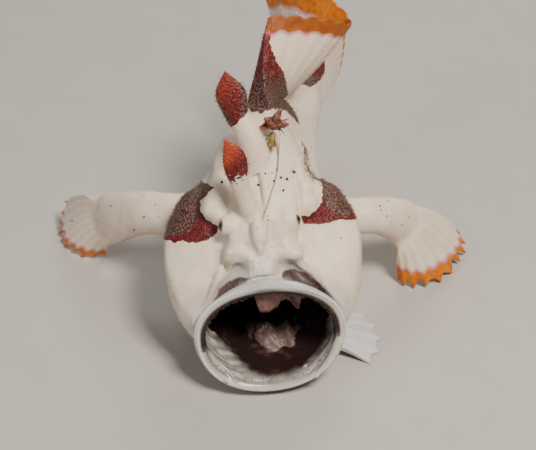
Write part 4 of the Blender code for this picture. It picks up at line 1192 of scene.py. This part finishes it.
class Nodes:
    """Short names for adding a material's shader nodes."""

    def __init__(self, tree):
        self.tree = tree

    def add(self, kind, **settings):
        node = self.tree.nodes.new(kind)
        for key, value in settings.items():
            setattr(node, key, value)
        return node

    def link(self, output, target):
        self.tree.links.new(output, target)

    def feed(self, target, value):
        """Gives a socket an output, a number or a colour."""
        if hasattr(value, "is_output"):
            self.link(value, target)
        else:
            target.default_value = (*value, 1.0) if isinstance(value, tuple) else value

    def math(self, operation, first, second=0.0):
        node = self.add("ShaderNodeMath", operation=operation)
        self.feed(node.inputs[0], first)
        self.feed(node.inputs[1], second)
        return node.outputs[0]

    def times(self, first, second):
        return self.math("MULTIPLY", first, second)

    def left_of(self, share):
        """What is left of 1 beside a share."""
        return self.math("SUBTRACT", 1.0, share)

    def shaken(self, value, shaking, amount, middle=0.5):
        """The value, moved up and down by so much of a noise."""
        return self.math("ADD", value, self.times(self.math("SUBTRACT", shaking, middle), amount))

    def step(self, value, low, high):
        node = self.add("ShaderNodeMapRange", interpolation_type="SMOOTHSTEP")
        self.feed(node.inputs["Value"], value)
        node.inputs["From Min"].default_value = low
        node.inputs["From Max"].default_value = high
        return node.outputs["Result"]

    def mix(self, share, first, second, blend="MIX"):
        node = self.add("ShaderNodeMix", data_type="RGBA", blend_type=blend)
        for socket, value in ((0, share), (6, first), (7, second)):
            self.feed(node.inputs[socket], value)
        return node.outputs[2]

    def attribute(self, name, output="Fac"):
        return self.add("ShaderNodeAttribute", attribute_name=name).outputs[output]

    def texture(self, kind, size_mm, **inputs):
        """A texture in the object's own space, with features about so many millimetres across."""
        node = self.add(kind)
        self.link(self.add("ShaderNodeTexCoord").outputs["Object"], node.inputs["Vector"])
        set_inputs(node, {"Scale": 1.0 / (size_mm * MM), **inputs})
        return node

    def noise(self, size_mm, detail=2.0, roughness=0.5):
        return self.texture("ShaderNodeTexNoise", size_mm, Detail=detail, Roughness=roughness).outputs["Fac"]

    def cells(self, size_mm):
        return self.texture("ShaderNodeTexVoronoi", size_mm).outputs["Distance"]

    def ramp(self, value, stops):
        node = self.add("ShaderNodeValToRGB")
        self.feed(node.inputs[0], value)
        elements = node.color_ramp.elements
        while len(elements) < len(stops):
            elements.new(0.5)
        for element, (at, colour) in zip(elements, stops):
            element.position = at
            element.color = (*colour, 1.0)
        return node.outputs[0]

    def bump(self, height, distance_mm, strength, normal=None):
        node = self.add("ShaderNodeBump")
        self.link(height, node.inputs["Height"])
        set_inputs(node, {"Distance": distance_mm * MM, "Strength": strength})
        if normal is not None:
            self.link(normal, node.inputs["Normal"])
        return node.outputs["Normal"]


def set_inputs(node, values):
    for key, value in values.items():
        node.inputs[key].default_value = value


def new_material(name):
    """A material, the maker of its nodes, and its shader."""
    material = bpy.data.materials.new(name)
    material.use_nodes = True
    return material, Nodes(material.node_tree), material.node_tree.nodes["Principled BSDF"]


TONE_SHADE = (0.55, 0.46, 0.40)
# Colours of the patches' grains, from their middles outward.
BRIGHT_GRAINS = (
    (0.0, (0.48, 0.15, 0.11)),
    (0.16, (0.20, 0.010, 0.010)),
    (0.50, (0.11, 0.003, 0.004)),
    (0.85, (0.04, 0.001, 0.002)),
)
DUSTY_GRAINS = (
    (0.0, (0.36, 0.24, 0.17)),
    (0.28, (0.16, 0.085, 0.060)),
    (0.58, (0.060, 0.018, 0.016)),
    (0.85, (0.026, 0.006, 0.007)),
)
EMBER = (0.52, 0.075, 0.020)
ORANGES = ((0.3, (0.46, 0.085, 0.0)), (0.7, (0.60, 0.185, 0.0)))
DEEPER_ORANGE = (0.50, 0.46, 1.0)
MARGIN_PINK = (0.50, 0.09, 0.17)
DOT_BLACK = (0.018, 0.010, 0.008)
FRECKLE_BROWN = (0.10, 0.045, 0.016)
# Pale spinules, lightened past the skin as painted light that offsets the shading of their flat sides.
SPINULE_PALE_AND_LIT = (0.86, 0.78, 0.69)
SPINULE_RED = (0.30, 0.05, 0.035)
SPINULE_DUSTY = (0.27, 0.17, 0.11)
GRAIN_SIZE = 0.27
PORE_SIZE = 0.22


def skin_material():
    """White skin with grainy patches, fin margins, dots and freckles, where the skin's attributes say."""
    material, n, shader = new_material("frogfish_skin")
    tone = n.attribute("tone", "Color")
    fine = n.noise(0.35, 3.0, 0.6)
    base = n.mix(n.step(fine, 0.35, 0.75), tone, n.mix(0.55, tone, TONE_SHADE, "MULTIPLY"))
    base = n.mix(0.25, tone, base)

    grain = n.cells(GRAIN_SIZE)
    red = n.step(n.shaken(n.attribute("red"), n.noise(0.5), 0.35), -0.04, 0.06)
    white = n.left_of(red)
    dust = n.step(n.shaken(n.attribute("dusty"), n.noise(0.6), 0.5), -0.12, 0.18)
    ember = n.step(n.attribute("ember"), 0.0, 1.0)
    patch = n.mix(dust, n.ramp(grain, BRIGHT_GRAINS), n.ramp(grain, DUSTY_GRAINS))
    patch = n.mix(ember, patch, n.mix(0.70, patch, EMBER))
    colour = n.mix(red, base, patch)

    margin = n.shaken(n.attribute("margin"), n.noise(1.1), 0.5)
    orange = n.ramp(n.noise(0.8), ORANGES)
    orange = n.mix(ember, orange, n.mix(1.0, orange, DEEPER_ORANGE, "MULTIPLY"))
    colour = n.mix(n.times(n.step(margin, -0.55, -0.05), 0.7), colour, MARGIN_PINK)
    colour = n.mix(n.step(margin, -0.05, 0.25), colour, orange)

    dots = n.step(n.shaken(n.attribute("dots"), n.noise(0.15), 0.10), -0.02, 0.03)
    colour = n.mix(dots, colour, DOT_BLACK)
    freckles = n.step(n.shaken(n.attribute("freckles"), n.noise(0.28, 3.0), 2.2, 0.53), -0.05, 0.15)
    colour = n.mix(freckles, colour, FRECKLE_BROWN)
    spinule = n.attribute("spinule")
    # The pale spinules: partly their own pale colour, partly painted light against their own shading.
    colour = n.mix(n.times(n.times(spinule, white), 0.6), colour, SPINULE_PALE_AND_LIT)
    tips = n.mix(dust, SPINULE_RED, SPINULE_DUSTY)
    colour = n.mix(n.times(n.times(spinule, red), 0.28), colour, tips)
    n.link(colour, shader.inputs["Base Color"])

    rough = n.math("ADD", 0.42, n.times(fine, 0.16))
    rough = n.math("SUBTRACT", rough, n.times(n.attribute("wet"), 0.22))
    n.link(rough, shader.inputs["Roughness"])
    set_inputs(shader, {
        "Subsurface Weight": 0.18,
        "Subsurface Radius": (1.0, 0.55, 0.35),
        "Subsurface Scale": 0.0007,
        "Specular IOR Level": 0.45,
    })

    pitted = n.math("ADD", n.times(n.cells(PORE_SIZE), -0.3), fine)
    normal = n.bump(n.times(white, pitted), 0.05, 0.35)
    normal = n.bump(n.times(red, n.left_of(grain)), 0.14, 0.8, normal)
    n.link(normal, shader.inputs["Normal"])
    return material


def attribute_on(mesh, name, values):
    """A number or a colour for each point, for the materials to read."""
    if values.ndim == 1:
        layer = mesh.attributes.new(name, "FLOAT", "POINT")
        layer.data.foreach_set("value", np.ascontiguousarray(values, np.float32))
        return
    layer = mesh.attributes.new(name, "FLOAT_COLOR", "POINT")
    full = np.ones((len(values), 4), np.float32)
    full[:, :3] = values
    layer.data.foreach_set("color", full.ravel())


def fast_mesh(name, points, faces, material):
    """A smooth mesh object in metres, from arrays of points and of faces with equal numbers of corners."""
    count, corners = faces.shape
    mesh = bpy.data.meshes.new(name)
    mesh.vertices.add(len(points))
    mesh.vertices.foreach_set("co", (points * MM).astype(np.float32).ravel())
    mesh.loops.add(count * corners)
    mesh.loops.foreach_set("vertex_index", faces.astype(np.int32).ravel())
    mesh.polygons.add(count)
    mesh.polygons.foreach_set("loop_start", np.arange(0, count * corners, corners, dtype=np.int32))
    mesh.update(calc_edges=True)
    mesh.polygons.foreach_set("use_smooth", np.ones(count, bool))
    mesh.materials.append(material)
    return placed(name, mesh)


SHEET_COLUMNS = 3


def unwrap(skin):
    """A place for each skin point on a flat sheet: the body fills the left, limbs and fins have strips."""
    u, v = np.zeros(len(skin.points)), np.zeros(len(skin.points))
    body = skin.on("body")
    u[body] = 0.02 + 0.56 * (skin.angle[body] + 180.0) / 380.0
    v[body] = np.clip(0.30 - skin.depth[body] / 80.0, 0.01, 0.99)
    others = [name for name in skin.names if name != "body"]
    for place, name in enumerate(others):
        here = skin.on(name)
        span = max(float(skin.across[here].max()) if here.any() else 1.0, 1.0)
        row, column = divmod(place, SHEET_COLUMNS)
        u[here] = 0.62 + 0.12 * column + 0.10 * np.clip(skin.across[here] / span * 0.5 + 0.5, 0, 1)
        v[here] = 0.02 + 0.24 * row + 0.20 * np.clip(skin.along[here], 0, 1)
    return np.column_stack([u, v])


def leaning(rng, up, scatter, lean):
    """Directions scattered about up and leant over, each with two more that are square to it."""
    ahead = up + rng.normal(0.0, scatter, up.shape) + np.array(lean)
    ahead /= np.linalg.norm(ahead, axis=1)[:, None]
    side = np.cross(ahead, rng.normal(0.0, 1.0, up.shape))
    side /= np.linalg.norm(side, axis=1)[:, None]
    return ahead, side, np.cross(ahead, side)


def cones(feet, tips, directions, radii, sides):
    """Points and triangles of a small cone for each foot, open below. Each has its tip last."""
    _, side, other = directions
    corners = np.zeros((len(feet), sides + 1, 3))
    for k, angle in enumerate(turn_angles(sides)):
        corners[:, k] = feet + (side * math.cos(angle) + other * math.sin(angle)) * radii[:, None]
    corners[:, sides] = tips
    first = np.arange(len(feet))[:, None] * (sides + 1)
    faces = np.concatenate([first + np.array([[k, (k + 1) % sides, sides]]) for k in range(sides)])
    return corners.reshape(-1, 3), faces


SPINULE_SIDES = 3
SPINULE_CORNERS = SPINULE_SIDES + 1
SPINULE_SUNK = 0.05
SPINULE_SCATTER = 0.28
SPINULE_LEAN = (0.0, 0.12, 0.10)
# How much each corner of a spinule takes on its own colour: the foot's corners, then the tip.
SPINULE_SHARES = (0.15, 0.15, 0.15, 0.85)
# The same corners' places beside their root on the flat sheet.
SPINULE_PATCH = ((0.0, 0.0), (0.003, 0.0), (0.0, 0.003), (0.0015, 0.0015))


def grow_spinules(name, skin, layers, chosen, heights, radii, rng, material):
    """Tiny cones, each with three sides, rooted in the skin at the chosen points."""
    roots, up = skin.points[chosen], skin.normals[chosen]
    directions = leaning(rng, up, SPINULE_SCATTER, SPINULE_LEAN)
    tips = roots + directions[0] * heights[:, None]
    points, faces = cones(roots - up * SPINULE_SUNK, tips, directions, radii, SPINULE_SIDES)
    made = fast_mesh(name, points, faces, material)
    for key, values in layers.items():
        attribute_on(made.data, key, np.repeat(values[chosen], SPINULE_CORNERS, axis=0))
    attribute_on(made.data, "spinule", np.tile(SPINULE_SHARES, len(roots)))
    corner = faces.ravel()
    uv = unwrap(skin)[chosen][corner // SPINULE_CORNERS] + np.array(SPINULE_PATCH)[corner % SPINULE_CORNERS]
    sheet = made.data.uv_layers.new(name="OFBake")
    sheet.data.foreach_set("uv", uv.astype(np.float32).ravel())
    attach(made, "root")
    return made


FLESH_NODES = (
    "upper_jaw", "lower_jaw", "head", "torso", "tail_stem", "illicium", "second_spine", "third_spine",
    "dorsal_fin", "anal_fin", "tail_fin", "arm_left", "arm_right", "hand_left", "hand_right", "foot_left",
    "foot_right")
SMOOTHING = 0.75
SMOOTHING_ROUNDS = 26
SKIN_INSET = 0.05


def shape_skin():
    """The skin of the whole fish: all sources joined, smoothed where they meet, folded and lidded."""
    sources = all_sources()
    skin = Skin(*voxel_union(sources + lid_sources(), VOXEL), sources)
    weight = SMOOTHING * faded(skin.next_source, 0.35, 1.1)
    for _, centre, _ in eye_places():
        round_eye = faded(np.linalg.norm(skin.points - centre, axis=1), 2.2, 3.2)
        weight = np.maximum(weight, SMOOTHING * round_eye)
    weight[skin.on("illicium") & (skin.along > 0.12)] = 0.0
    skin.points = smoothed(skin.points, skin.quads, weight, SMOOTHING_ROUNDS)
    skin.points = smoothed(skin.points, skin.quads, np.full(len(skin.points), 0.35), 2)
    skin.settle()
    skin.points = skin.points + skin.normals * (skin_details(skin) - SKIN_INSET)[:, None]
    press_folds(skin)
    skin.points = open_lids(skin.points)
    skin.points[:, 2] = np.maximum(skin.points[:, 2], 0.0)
    skin.settle()
    return skin


# Widths of the fins' coloured margins in millimetres. The feet have none.
MARGIN_WIDTHS = {
    "tail": 1.8, "anal": 1.5, "hand_left": 2.2, "hand_right": 1.5, "foot_left": -2.0, "foot_right": -2.0}
DORSAL_MARGIN = 1.9
DORSAL_MARGIN_WIDENS = 1.3
# Where the spines' patches turn orange: start along the spine, and strength.
SPINE_EMBERS = (("second_spine", 0.58, 1.0), ("third_spine", 0.62, 0.45))
EMBER_SPAN = 0.36


def margin_depth(skin):
    """Signed distance into the coloured margin of each fin, in millimetres."""
    width = DORSAL_MARGIN + DORSAL_MARGIN_WIDENS * eased(skin.across, 6.0, 9.0)
    for name, value in MARGIN_WIDTHS.items():
        width = np.where(skin.on(name), value, width)
    ripple = 0.16 * np.cos(skin.across * 2 * math.pi)
    return np.where(skin.on(*FINS), width - ripple - skin.margin, -FAR)


def ember_share(skin):
    """How far the spines' tips turn orange, and how deep the dorsal fin's orange is near its front."""
    ember = eased(skin.along, 0.72, 0.95) * faded(skin.across, 6.0, 8.0) * skin.on("dorsal")
    slanted = skin.along - 0.12 * skin.across
    for name, start, strength in SPINE_EMBERS:
        ember += strength * eased(slanted, start, start + EMBER_SPAN) * skin.on(name)
    return ember


def build_skin(material):
    skin = shape_skin()
    red, dusty = patch_depth(skin, 0.16 * noise_at(skin.points, 0.8, 1.0))
    dots, freckles = dot_depth(skin)
    layers = {
        "tone": tones(skin),
        "red": red,
        "dusty": dusty,
        "margin": margin_depth(skin),
        "ember": ember_share(skin),
        "dots": dots,
        "freckles": freckles,
        "wet": skin.on("body") * eased(skin.depth, -1.2, 0.2),
    }
    made = fast_mesh("frogfish_skin", skin.points, skin.quads, material)
    for key, values in layers.items():
        attribute_on(made.data, key, values)
    attribute_on(made.data, "spinule", np.zeros(len(skin.points)))
    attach(made, "root")
    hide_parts(*FLESH_NODES)
    return skin, layers


COAT_DENSITY = 15.0
COAT_CLEAR_OF_FLOOR = 0.5


def coat(skin, layers, material):
    """Spinules: short pale ones that give the white skin its velvet, longer ones on the patches."""
    rng = np.random.default_rng(SEED)
    corner = skin.points[skin.quads]
    area = 0.5 * np.linalg.norm(np.cross(corner[:, 2] - corner[:, 0], corner[:, 3] - corner[:, 1]), axis=1)
    share = sum(np.bincount(skin.quads[:, k], area / 4, len(skin.points)) for k in range(4))
    rough = skin.on("body") & (skin.depth < -3.6)
    rough |= skin.on("arm_left", "arm_right", "second_spine", "third_spine")
    rough |= skin.on("dorsal") & (skin.along < 0.8)
    clear = skin.points[:, 2] > COAT_CLEAR_OF_FLOOR
    for name, here, per_mm2, tall, wide in (
        ("velvet", rough & (layers["red"] < -0.1) & clear, COAT_DENSITY, 0.16, 0.035),
        ("bristles", (layers["red"] > 0.05) & clear, COAT_DENSITY * 0.8, 0.22, 0.045),
    ):
        odds = np.where(here, share * per_mm2, 0.0)
        chosen = np.flatnonzero(rng.random(len(skin.points)) < odds)
        heights = tall * rng.uniform(0.55, 1.35, len(chosen))
        heights *= 1.0 + 0.6 * eased(np.abs(skin.normals[chosen, 0]), 0.5, 0.8)
        radii = wide * rng.uniform(0.8, 1.25, len(chosen))
        grow_spinules(f"spinules_{name}", skin, layers, chosen, heights, radii, rng, material)


IRIS_VEINS = ((0.10, 0.045, 0.010), (0.28, 0.15, 0.035))
IRIS_RIM = (0.20, 0.11, 0.03)
PUPIL = (0.004, 0.003, 0.003)


def eye_material():
    """A glossy eye: dark pupil, veined iris and pale rim, by the place on the ball."""
    material, n, shader = new_material("frogfish_eye")
    ring = n.attribute("ring")
    waves = n.math("SINE", n.times(n.attribute("spokes"), 11.0))
    iris = n.mix(n.step(n.math("ADD", waves, n.noise(0.25)), 0.0, 1.4), *IRIS_VEINS)
    colour = n.mix(n.step(ring, 0.36, 0.42), PUPIL, iris)
    colour = n.mix(n.step(ring, 0.55, 0.66), colour, IRIS_RIM)
    n.link(colour, shader.inputs["Base Color"])
    set_inputs(shader, {"Roughness": 0.08, "Coat Weight": 0.6, "Coat Roughness": 0.03})
    n.link(n.bump(n.noise(0.2), 0.01, 0.2), shader.inputs["Normal"])
    return material


EYE_ROWS = 30
EYE_SIDES = 48


def build_eyes(material):
    for side, centre, direction in eye_places():
        turn = np.array(Vector(direction).to_track_quat("Z", "Y").to_matrix())
        points, ring, spokes = [], [], []
        for local, polar, around in ball_grid(EYE_ROWS, EYE_SIDES):
            bulge = 1.0 + 0.07 * bell(polar, 0.55)
            points.append(centre + turn @ (local * EYE_RADIUS * bulge * 0.985))
            ring.append(math.hypot(local[0] * 0.85, local[1] * 1.15) if polar < math.pi / 2 else 1.2)
            spokes.append(around)
        faces = np.array(ring_faces(EYE_ROWS + 1, EYE_SIDES))
        made = fast_mesh(f"eyeball_{side}", np.array(points), faces, material)
        attribute_on(made.data, "ring", np.array(ring))
        attribute_on(made.data, "spokes", np.array(spokes))
        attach(made, "root")
        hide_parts(f"eye_{side}")


def flesh_material(name, dark, light, size_mm, roughness):
    """Moist flesh, blotched dark and light."""
    material, n, shader = new_material(name)
    blotch = n.noise(size_mm, 3.0, 0.6)
    n.link(n.mix(n.step(blotch, 0.35, 0.65), dark, light), shader.inputs["Base Color"])
    set_inputs(shader, {
        "Roughness": roughness,
        "Subsurface Weight": 0.25,
        "Subsurface Radius": (1.0, 0.4, 0.3),
        "Subsurface Scale": 0.0008,
    })
    n.link(n.bump(n.noise(size_mm * 0.3, 2.0), 0.06, 0.6), shader.inputs["Normal"])
    return material


TONGUE_CENTRE = (1.2, -10.4, 1.8)
TONGUE_SIZE = (4.6, 4.4, 2.2)
TONGUE_LOWEST = 0.6
TONGUE_ROWS = 40
TONGUE_SIDES = 64


def build_tongue():
    points = []
    for local, _, _ in ball_grid(TONGUE_ROWS, TONGUE_SIDES):
        spot = local * TONGUE_SIZE
        groove = bell(spot[0] + 0.4 * spot[1], 0.9 + 0.25 * max(spot[1], 0.0))
        notch = 0.9 * groove * max(local[2], 0.0)
        lump = 0.45 * noise.noise(tuple(spot * 0.55)) + 0.15 * noise.noise(tuple(spot * 2.0))
        spot = spot * (1.0 + 0.35 * lump - 0.10) + (0.0, 0.0, lump - notch - 0.2)
        points.append(spot * 0.98 + TONGUE_CENTRE)
    points = np.array(points)
    points[:, 2] = np.maximum(points[:, 2], TONGUE_LOWEST)
    # Dull flesh, darkened further as painted shade of the deep mouth.
    material = flesh_material("tongue_flesh", (0.085, 0.050, 0.044), (0.15, 0.105, 0.092), 2.2, 0.5)
    made = fast_mesh("tongue_flesh", points, np.array(ring_faces(TONGUE_ROWS + 1, TONGUE_SIDES)), material)
    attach(made, "root")
    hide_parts("tongue")


LURE_CENTRE = (1.0, -2.0, 28.3)
LURE_BALL = (1.0, 0.85, 0.95)
LURE_LOBES = 7
LURE_THREADS = 14
LURE_ACROSS = (0.1, 1.0, 0.05)
TUFT_START = (-0.2, -1.0, -0.6)
TUFT_REACH = (-0.2, -2.0, -1.25)
TUFT_THREADS = 34


def lure_pieces(centre):
    """A ball with soft lobes and thin threads that spread from it."""
    pieces = [ball_source(centre, LURE_BALL)]
    for i in range(LURE_LOBES):
        angle = math.radians(-96.0 + 31.0 * i + 14.0 * math.sin(3.0 * i))
        reach = np.array([math.sin(angle), -0.45 + 0.5 * math.sin(2.0 * i), math.cos(angle)])
        reach *= 0.9 + 0.2 * math.sin(5.0 * i)
        path = (centre + 0.3 * reach, centre + 1.3 * reach, centre + 2.05 * reach)
        pieces.append(tube("lobe", path, (0.50, 0.46, 0.22), (0.42, 0.38, 0.18), LURE_ACROSS, 20, 8))
    for i in range(LURE_THREADS):
        angle = math.radians(-70.0 + 17.0 * i)
        reach = np.array([math.sin(angle), -0.5 - 0.35 * math.sin(i * 2.1), math.cos(angle) * 0.9])
        reach *= 1.25 + 0.3 * math.sin(i * 1.7)
        bend = np.array([0.15 * math.sin(i), 0.0, 0.2])
        path = (centre + 0.5 * reach, centre + 0.9 * reach + bend, centre + 1.3 * reach)
        pieces.append(tube("thread", path, (0.13, 0.10, 0.05), (0.13, 0.10, 0.05), LURE_ACROSS, 10, 6))
    return pieces


def tuft_pieces(start):
    """A brush of threads that starts at one point."""
    rng = np.random.default_rng(SEED)
    pieces = []
    for _ in range(TUFT_THREADS):
        reach = np.array(TUFT_REACH) * rng.uniform(0.4, 1.0) + rng.normal(0.0, 0.55, 3) * (1.0, 0.5, 0.5)
        path = (start, start + reach * 0.5 + rng.normal(0, 0.08, 3), start + reach)
        pieces.append(tube("thread", path, (0.16, 0.12, 0.05), (0.16, 0.12, 0.05), (1.0, 0.1, 0.1), 8, 5))
    return pieces


def build_lure():
    """The lure: a shrimp-like bundle of soft lobes, with an olive tuft below it."""
    centre = np.array(LURE_CENTRE)
    points, quads = voxel_union(lure_pieces(centre), 0.07)
    points = smoothed(points, quads, np.full(len(points), 0.4), 3)
    points += normals_of(points, quads) * (0.05 * noise_at(points, 0.5))[:, None]
    material = flesh_material("lure_flesh", (0.09, 0.020, 0.014), (0.30, 0.11, 0.075), 0.55, 0.2)
    set_inputs(material.node_tree.nodes["Principled BSDF"], {"Transmission Weight": 0.15})
    made = fast_mesh("lure_flesh", points, quads, material)
    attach(made, "root")
    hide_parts("lure")

    points, quads = voxel_union(tuft_pieces(centre + TUFT_START), 0.06)
    points = smoothed(points, quads, np.full(len(points), 0.3), 2)
    material = flesh_material("lure_tuft", (0.09, 0.055, 0.010), (0.34, 0.24, 0.055), 0.4, 0.4)
    tuft = fast_mesh("lure_tuft", points, quads, material)
    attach(tuft, "root")


# The ragged flap that hangs behind the upper lip: places across it, and how far down it hangs at each.
FLAP_ACROSS = (-1.4, -0.9, 0.2, 1.2, 1.7, 2.3, 2.9, 3.4, 3.9, 4.3, 4.9, 5.4)
FLAP_HANGS = (1.2, 3.4, 3.9, 3.5, 2.2, 1.5, 1.9, 3.4, 3.8, 2.0, 1.3, 0.9)
FLAP_TOP = (-14.6, 12.9)
FLAP_ROWS = 11
FLAP_COLUMNS = 61
FLAP_THICKNESS = 0.3


def build_palate_flap():
    """A soft flap of the palate, with a ragged lower edge, just inside the upper lip."""
    front, back = [], []
    for share in np.linspace(0.0, 1.0, FLAP_ROWS):
        for x in np.linspace(FLAP_ACROSS[0], FLAP_ACROSS[-1], FLAP_COLUMNS):
            hang = np.interp(x, FLAP_ACROSS, FLAP_HANGS) + 0.25 * noise.noise((x * 1.6, 3.0, 0.0))
            swing = 0.3 * math.sin(x * 1.9) * share - 0.5 * share + 0.012 * x * x
            spot = np.array([x, FLAP_TOP[0] + swing, FLAP_TOP[1] - 0.03 * x * x - hang * share])
            half = FLAP_THICKNESS * (0.55 - 0.35 * share)
            front.append(spot - (0.0, half, 0.0))
            back.append(spot + (0.0, half, 0.0))
    faces = np.array(sheet_faces(FLAP_ROWS, FLAP_COLUMNS))
    material = flesh_material("palate_flap", (0.10, 0.042, 0.036), (0.21, 0.11, 0.092), 1.4, 0.4)
    made = fast_mesh("palate_flap", posed(back + front), faces, material)
    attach(made, "root")


# Rings of the mouth's lining that carry teeth, the degrees round it that carry none, and the odds of a
# tooth at each place on the upper and on the lower jaw.
TOOTH_RINGS = (8, 9, 10, 11, 12)
TOOTHLESS = (78, 108)
TEETH_PER_PLACE = 2
TOOTH_ODDS = (0.30, 0.12)
TOOTH_RADIUS = 0.05
TOOTH_SIDES = 5
TOOTH_SUNK = 0.06
TOOTH_SCATTER = 0.15
TOOTH_LEAN = (0.0, 0.5, 0.0)


def build_teeth():
    """Bands of tiny teeth on both jaws, just inside the lips."""
    inner = rings_of(INNER, INNER_STEPS, BODY_SIDES)
    normals = -ring_normals(inner)
    rng = np.random.default_rng(SEED + 1)
    roots, ups = [], []
    for j in range(BODY_SIDES):
        angle = 360.0 * j / BODY_SIDES
        side = min(angle, 360 - angle)
        if TOOTHLESS[0] < side < TOOTHLESS[1]:
            continue
        for row in TOOTH_RINGS:
            for _ in range(TEETH_PER_PLACE):
                if rng.random() < TOOTH_ODDS[0 if side < 90 else 1]:
                    roots.append(inner[row, j] + rng.normal(0, 0.08, 3))
                    ups.append(normals[row, j])
    roots, ups = np.array(roots), np.array(ups)
    directions = leaning(rng, ups, TOOTH_SCATTER, TOOTH_LEAN)
    tips = roots + directions[0] * rng.uniform(0.12, 0.26, len(roots))[:, None]
    radii = np.full(len(roots), TOOTH_RADIUS)
    points, faces = cones(roots - ups * TOOTH_SUNK, tips, directions, radii, TOOTH_SIDES)
    material = flesh_material("teeth", (0.07, 0.05, 0.04), (0.15, 0.115, 0.09), 0.5, 0.3)
    made = fast_mesh("teeth", posed(points), faces, material)
    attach(made, "root")


FLOOR_COLOURS = ((0.40, 0.37, 0.34), (0.45, 0.42, 0.385))
FLOOR_SIZE = 2.0
# Name, place, aim and size in metres, power in watts, colour.
LIGHTS = (
    ("key", (0.11, -0.15, 0.30), (0.0, -0.005, 0.012), 0.085, 1.80, (1.0, 0.93, 0.83)),
    ("fill", (-0.22, -0.14, 0.18), (0.0, -0.005, 0.012), 0.14, 0.24, (0.95, 0.97, 1.0)),
    ("back", (0.05, 0.24, 0.22), (0.0, 0.0, 0.015), 0.12, 0.45, (1.0, 0.98, 0.95)),
)
WORLD_COLOUR = (0.80, 0.84, 0.90, 1.0)
WORLD_STRENGTH = 0.14
SENSOR_WIDTH = 36.0


def aim(item, place, direction):
    """Places a light or camera and turns it to face along a direction."""
    item.location = place
    item.rotation_mode = "QUATERNION"
    item.rotation_quaternion = direction.to_track_quat("-Z", "Y")


def build_stage():
    bpy.ops.mesh.primitive_plane_add(size=FLOOR_SIZE, location=(0.0, 0.0, 0.0))
    floor = bpy.context.object
    floor.name = "floor"
    material, n, shader = new_material("floor")
    n.link(n.mix(n.noise(6.0, 3.0), *FLOOR_COLOURS), shader.inputs["Base Color"])
    set_inputs(shader, {"Roughness": 0.85})
    floor.data.materials.append(material)

    for name, place, target, size, power, colour in LIGHTS:
        data = bpy.data.lights.new(name, "AREA")
        data.size = size
        data.energy = power
        data.color = colour
        aim(placed(name, data), place, Vector(target) - Vector(place))
    world = bpy.data.worlds.new("studio")
    bpy.context.scene.world = world
    world.use_nodes = True
    set_inputs(world.node_tree.nodes["Background"], {"Color": WORLD_COLOUR, "Strength": WORLD_STRENGTH})


def build_camera():
    data = bpy.data.cameras.new("camera")
    camera = placed("camera", data)
    back = Vector((0.0, -math.cos(VIEW_RISE), math.sin(VIEW_RISE)))
    aim(camera, (Vector(CAMERA_TARGET) + back * CAMERA_DISTANCE) * MM, -back)
    data.sensor_width = SENSOR_WIDTH
    data.lens = SENSOR_WIDTH * CAMERA_DISTANCE / (FRAME_PIXELS[0] * PIXEL)
    data.clip_start = 0.001
    bpy.context.scene.camera = camera


def main():
    material = skin_material()
    skin, layers = build_skin(material)
    coat(skin, layers, material)
    build_eyes(eye_material())
    build_tongue()
    build_lure()
    build_palate_flap()
    build_teeth()
    build_stage()
    build_camera()


main()
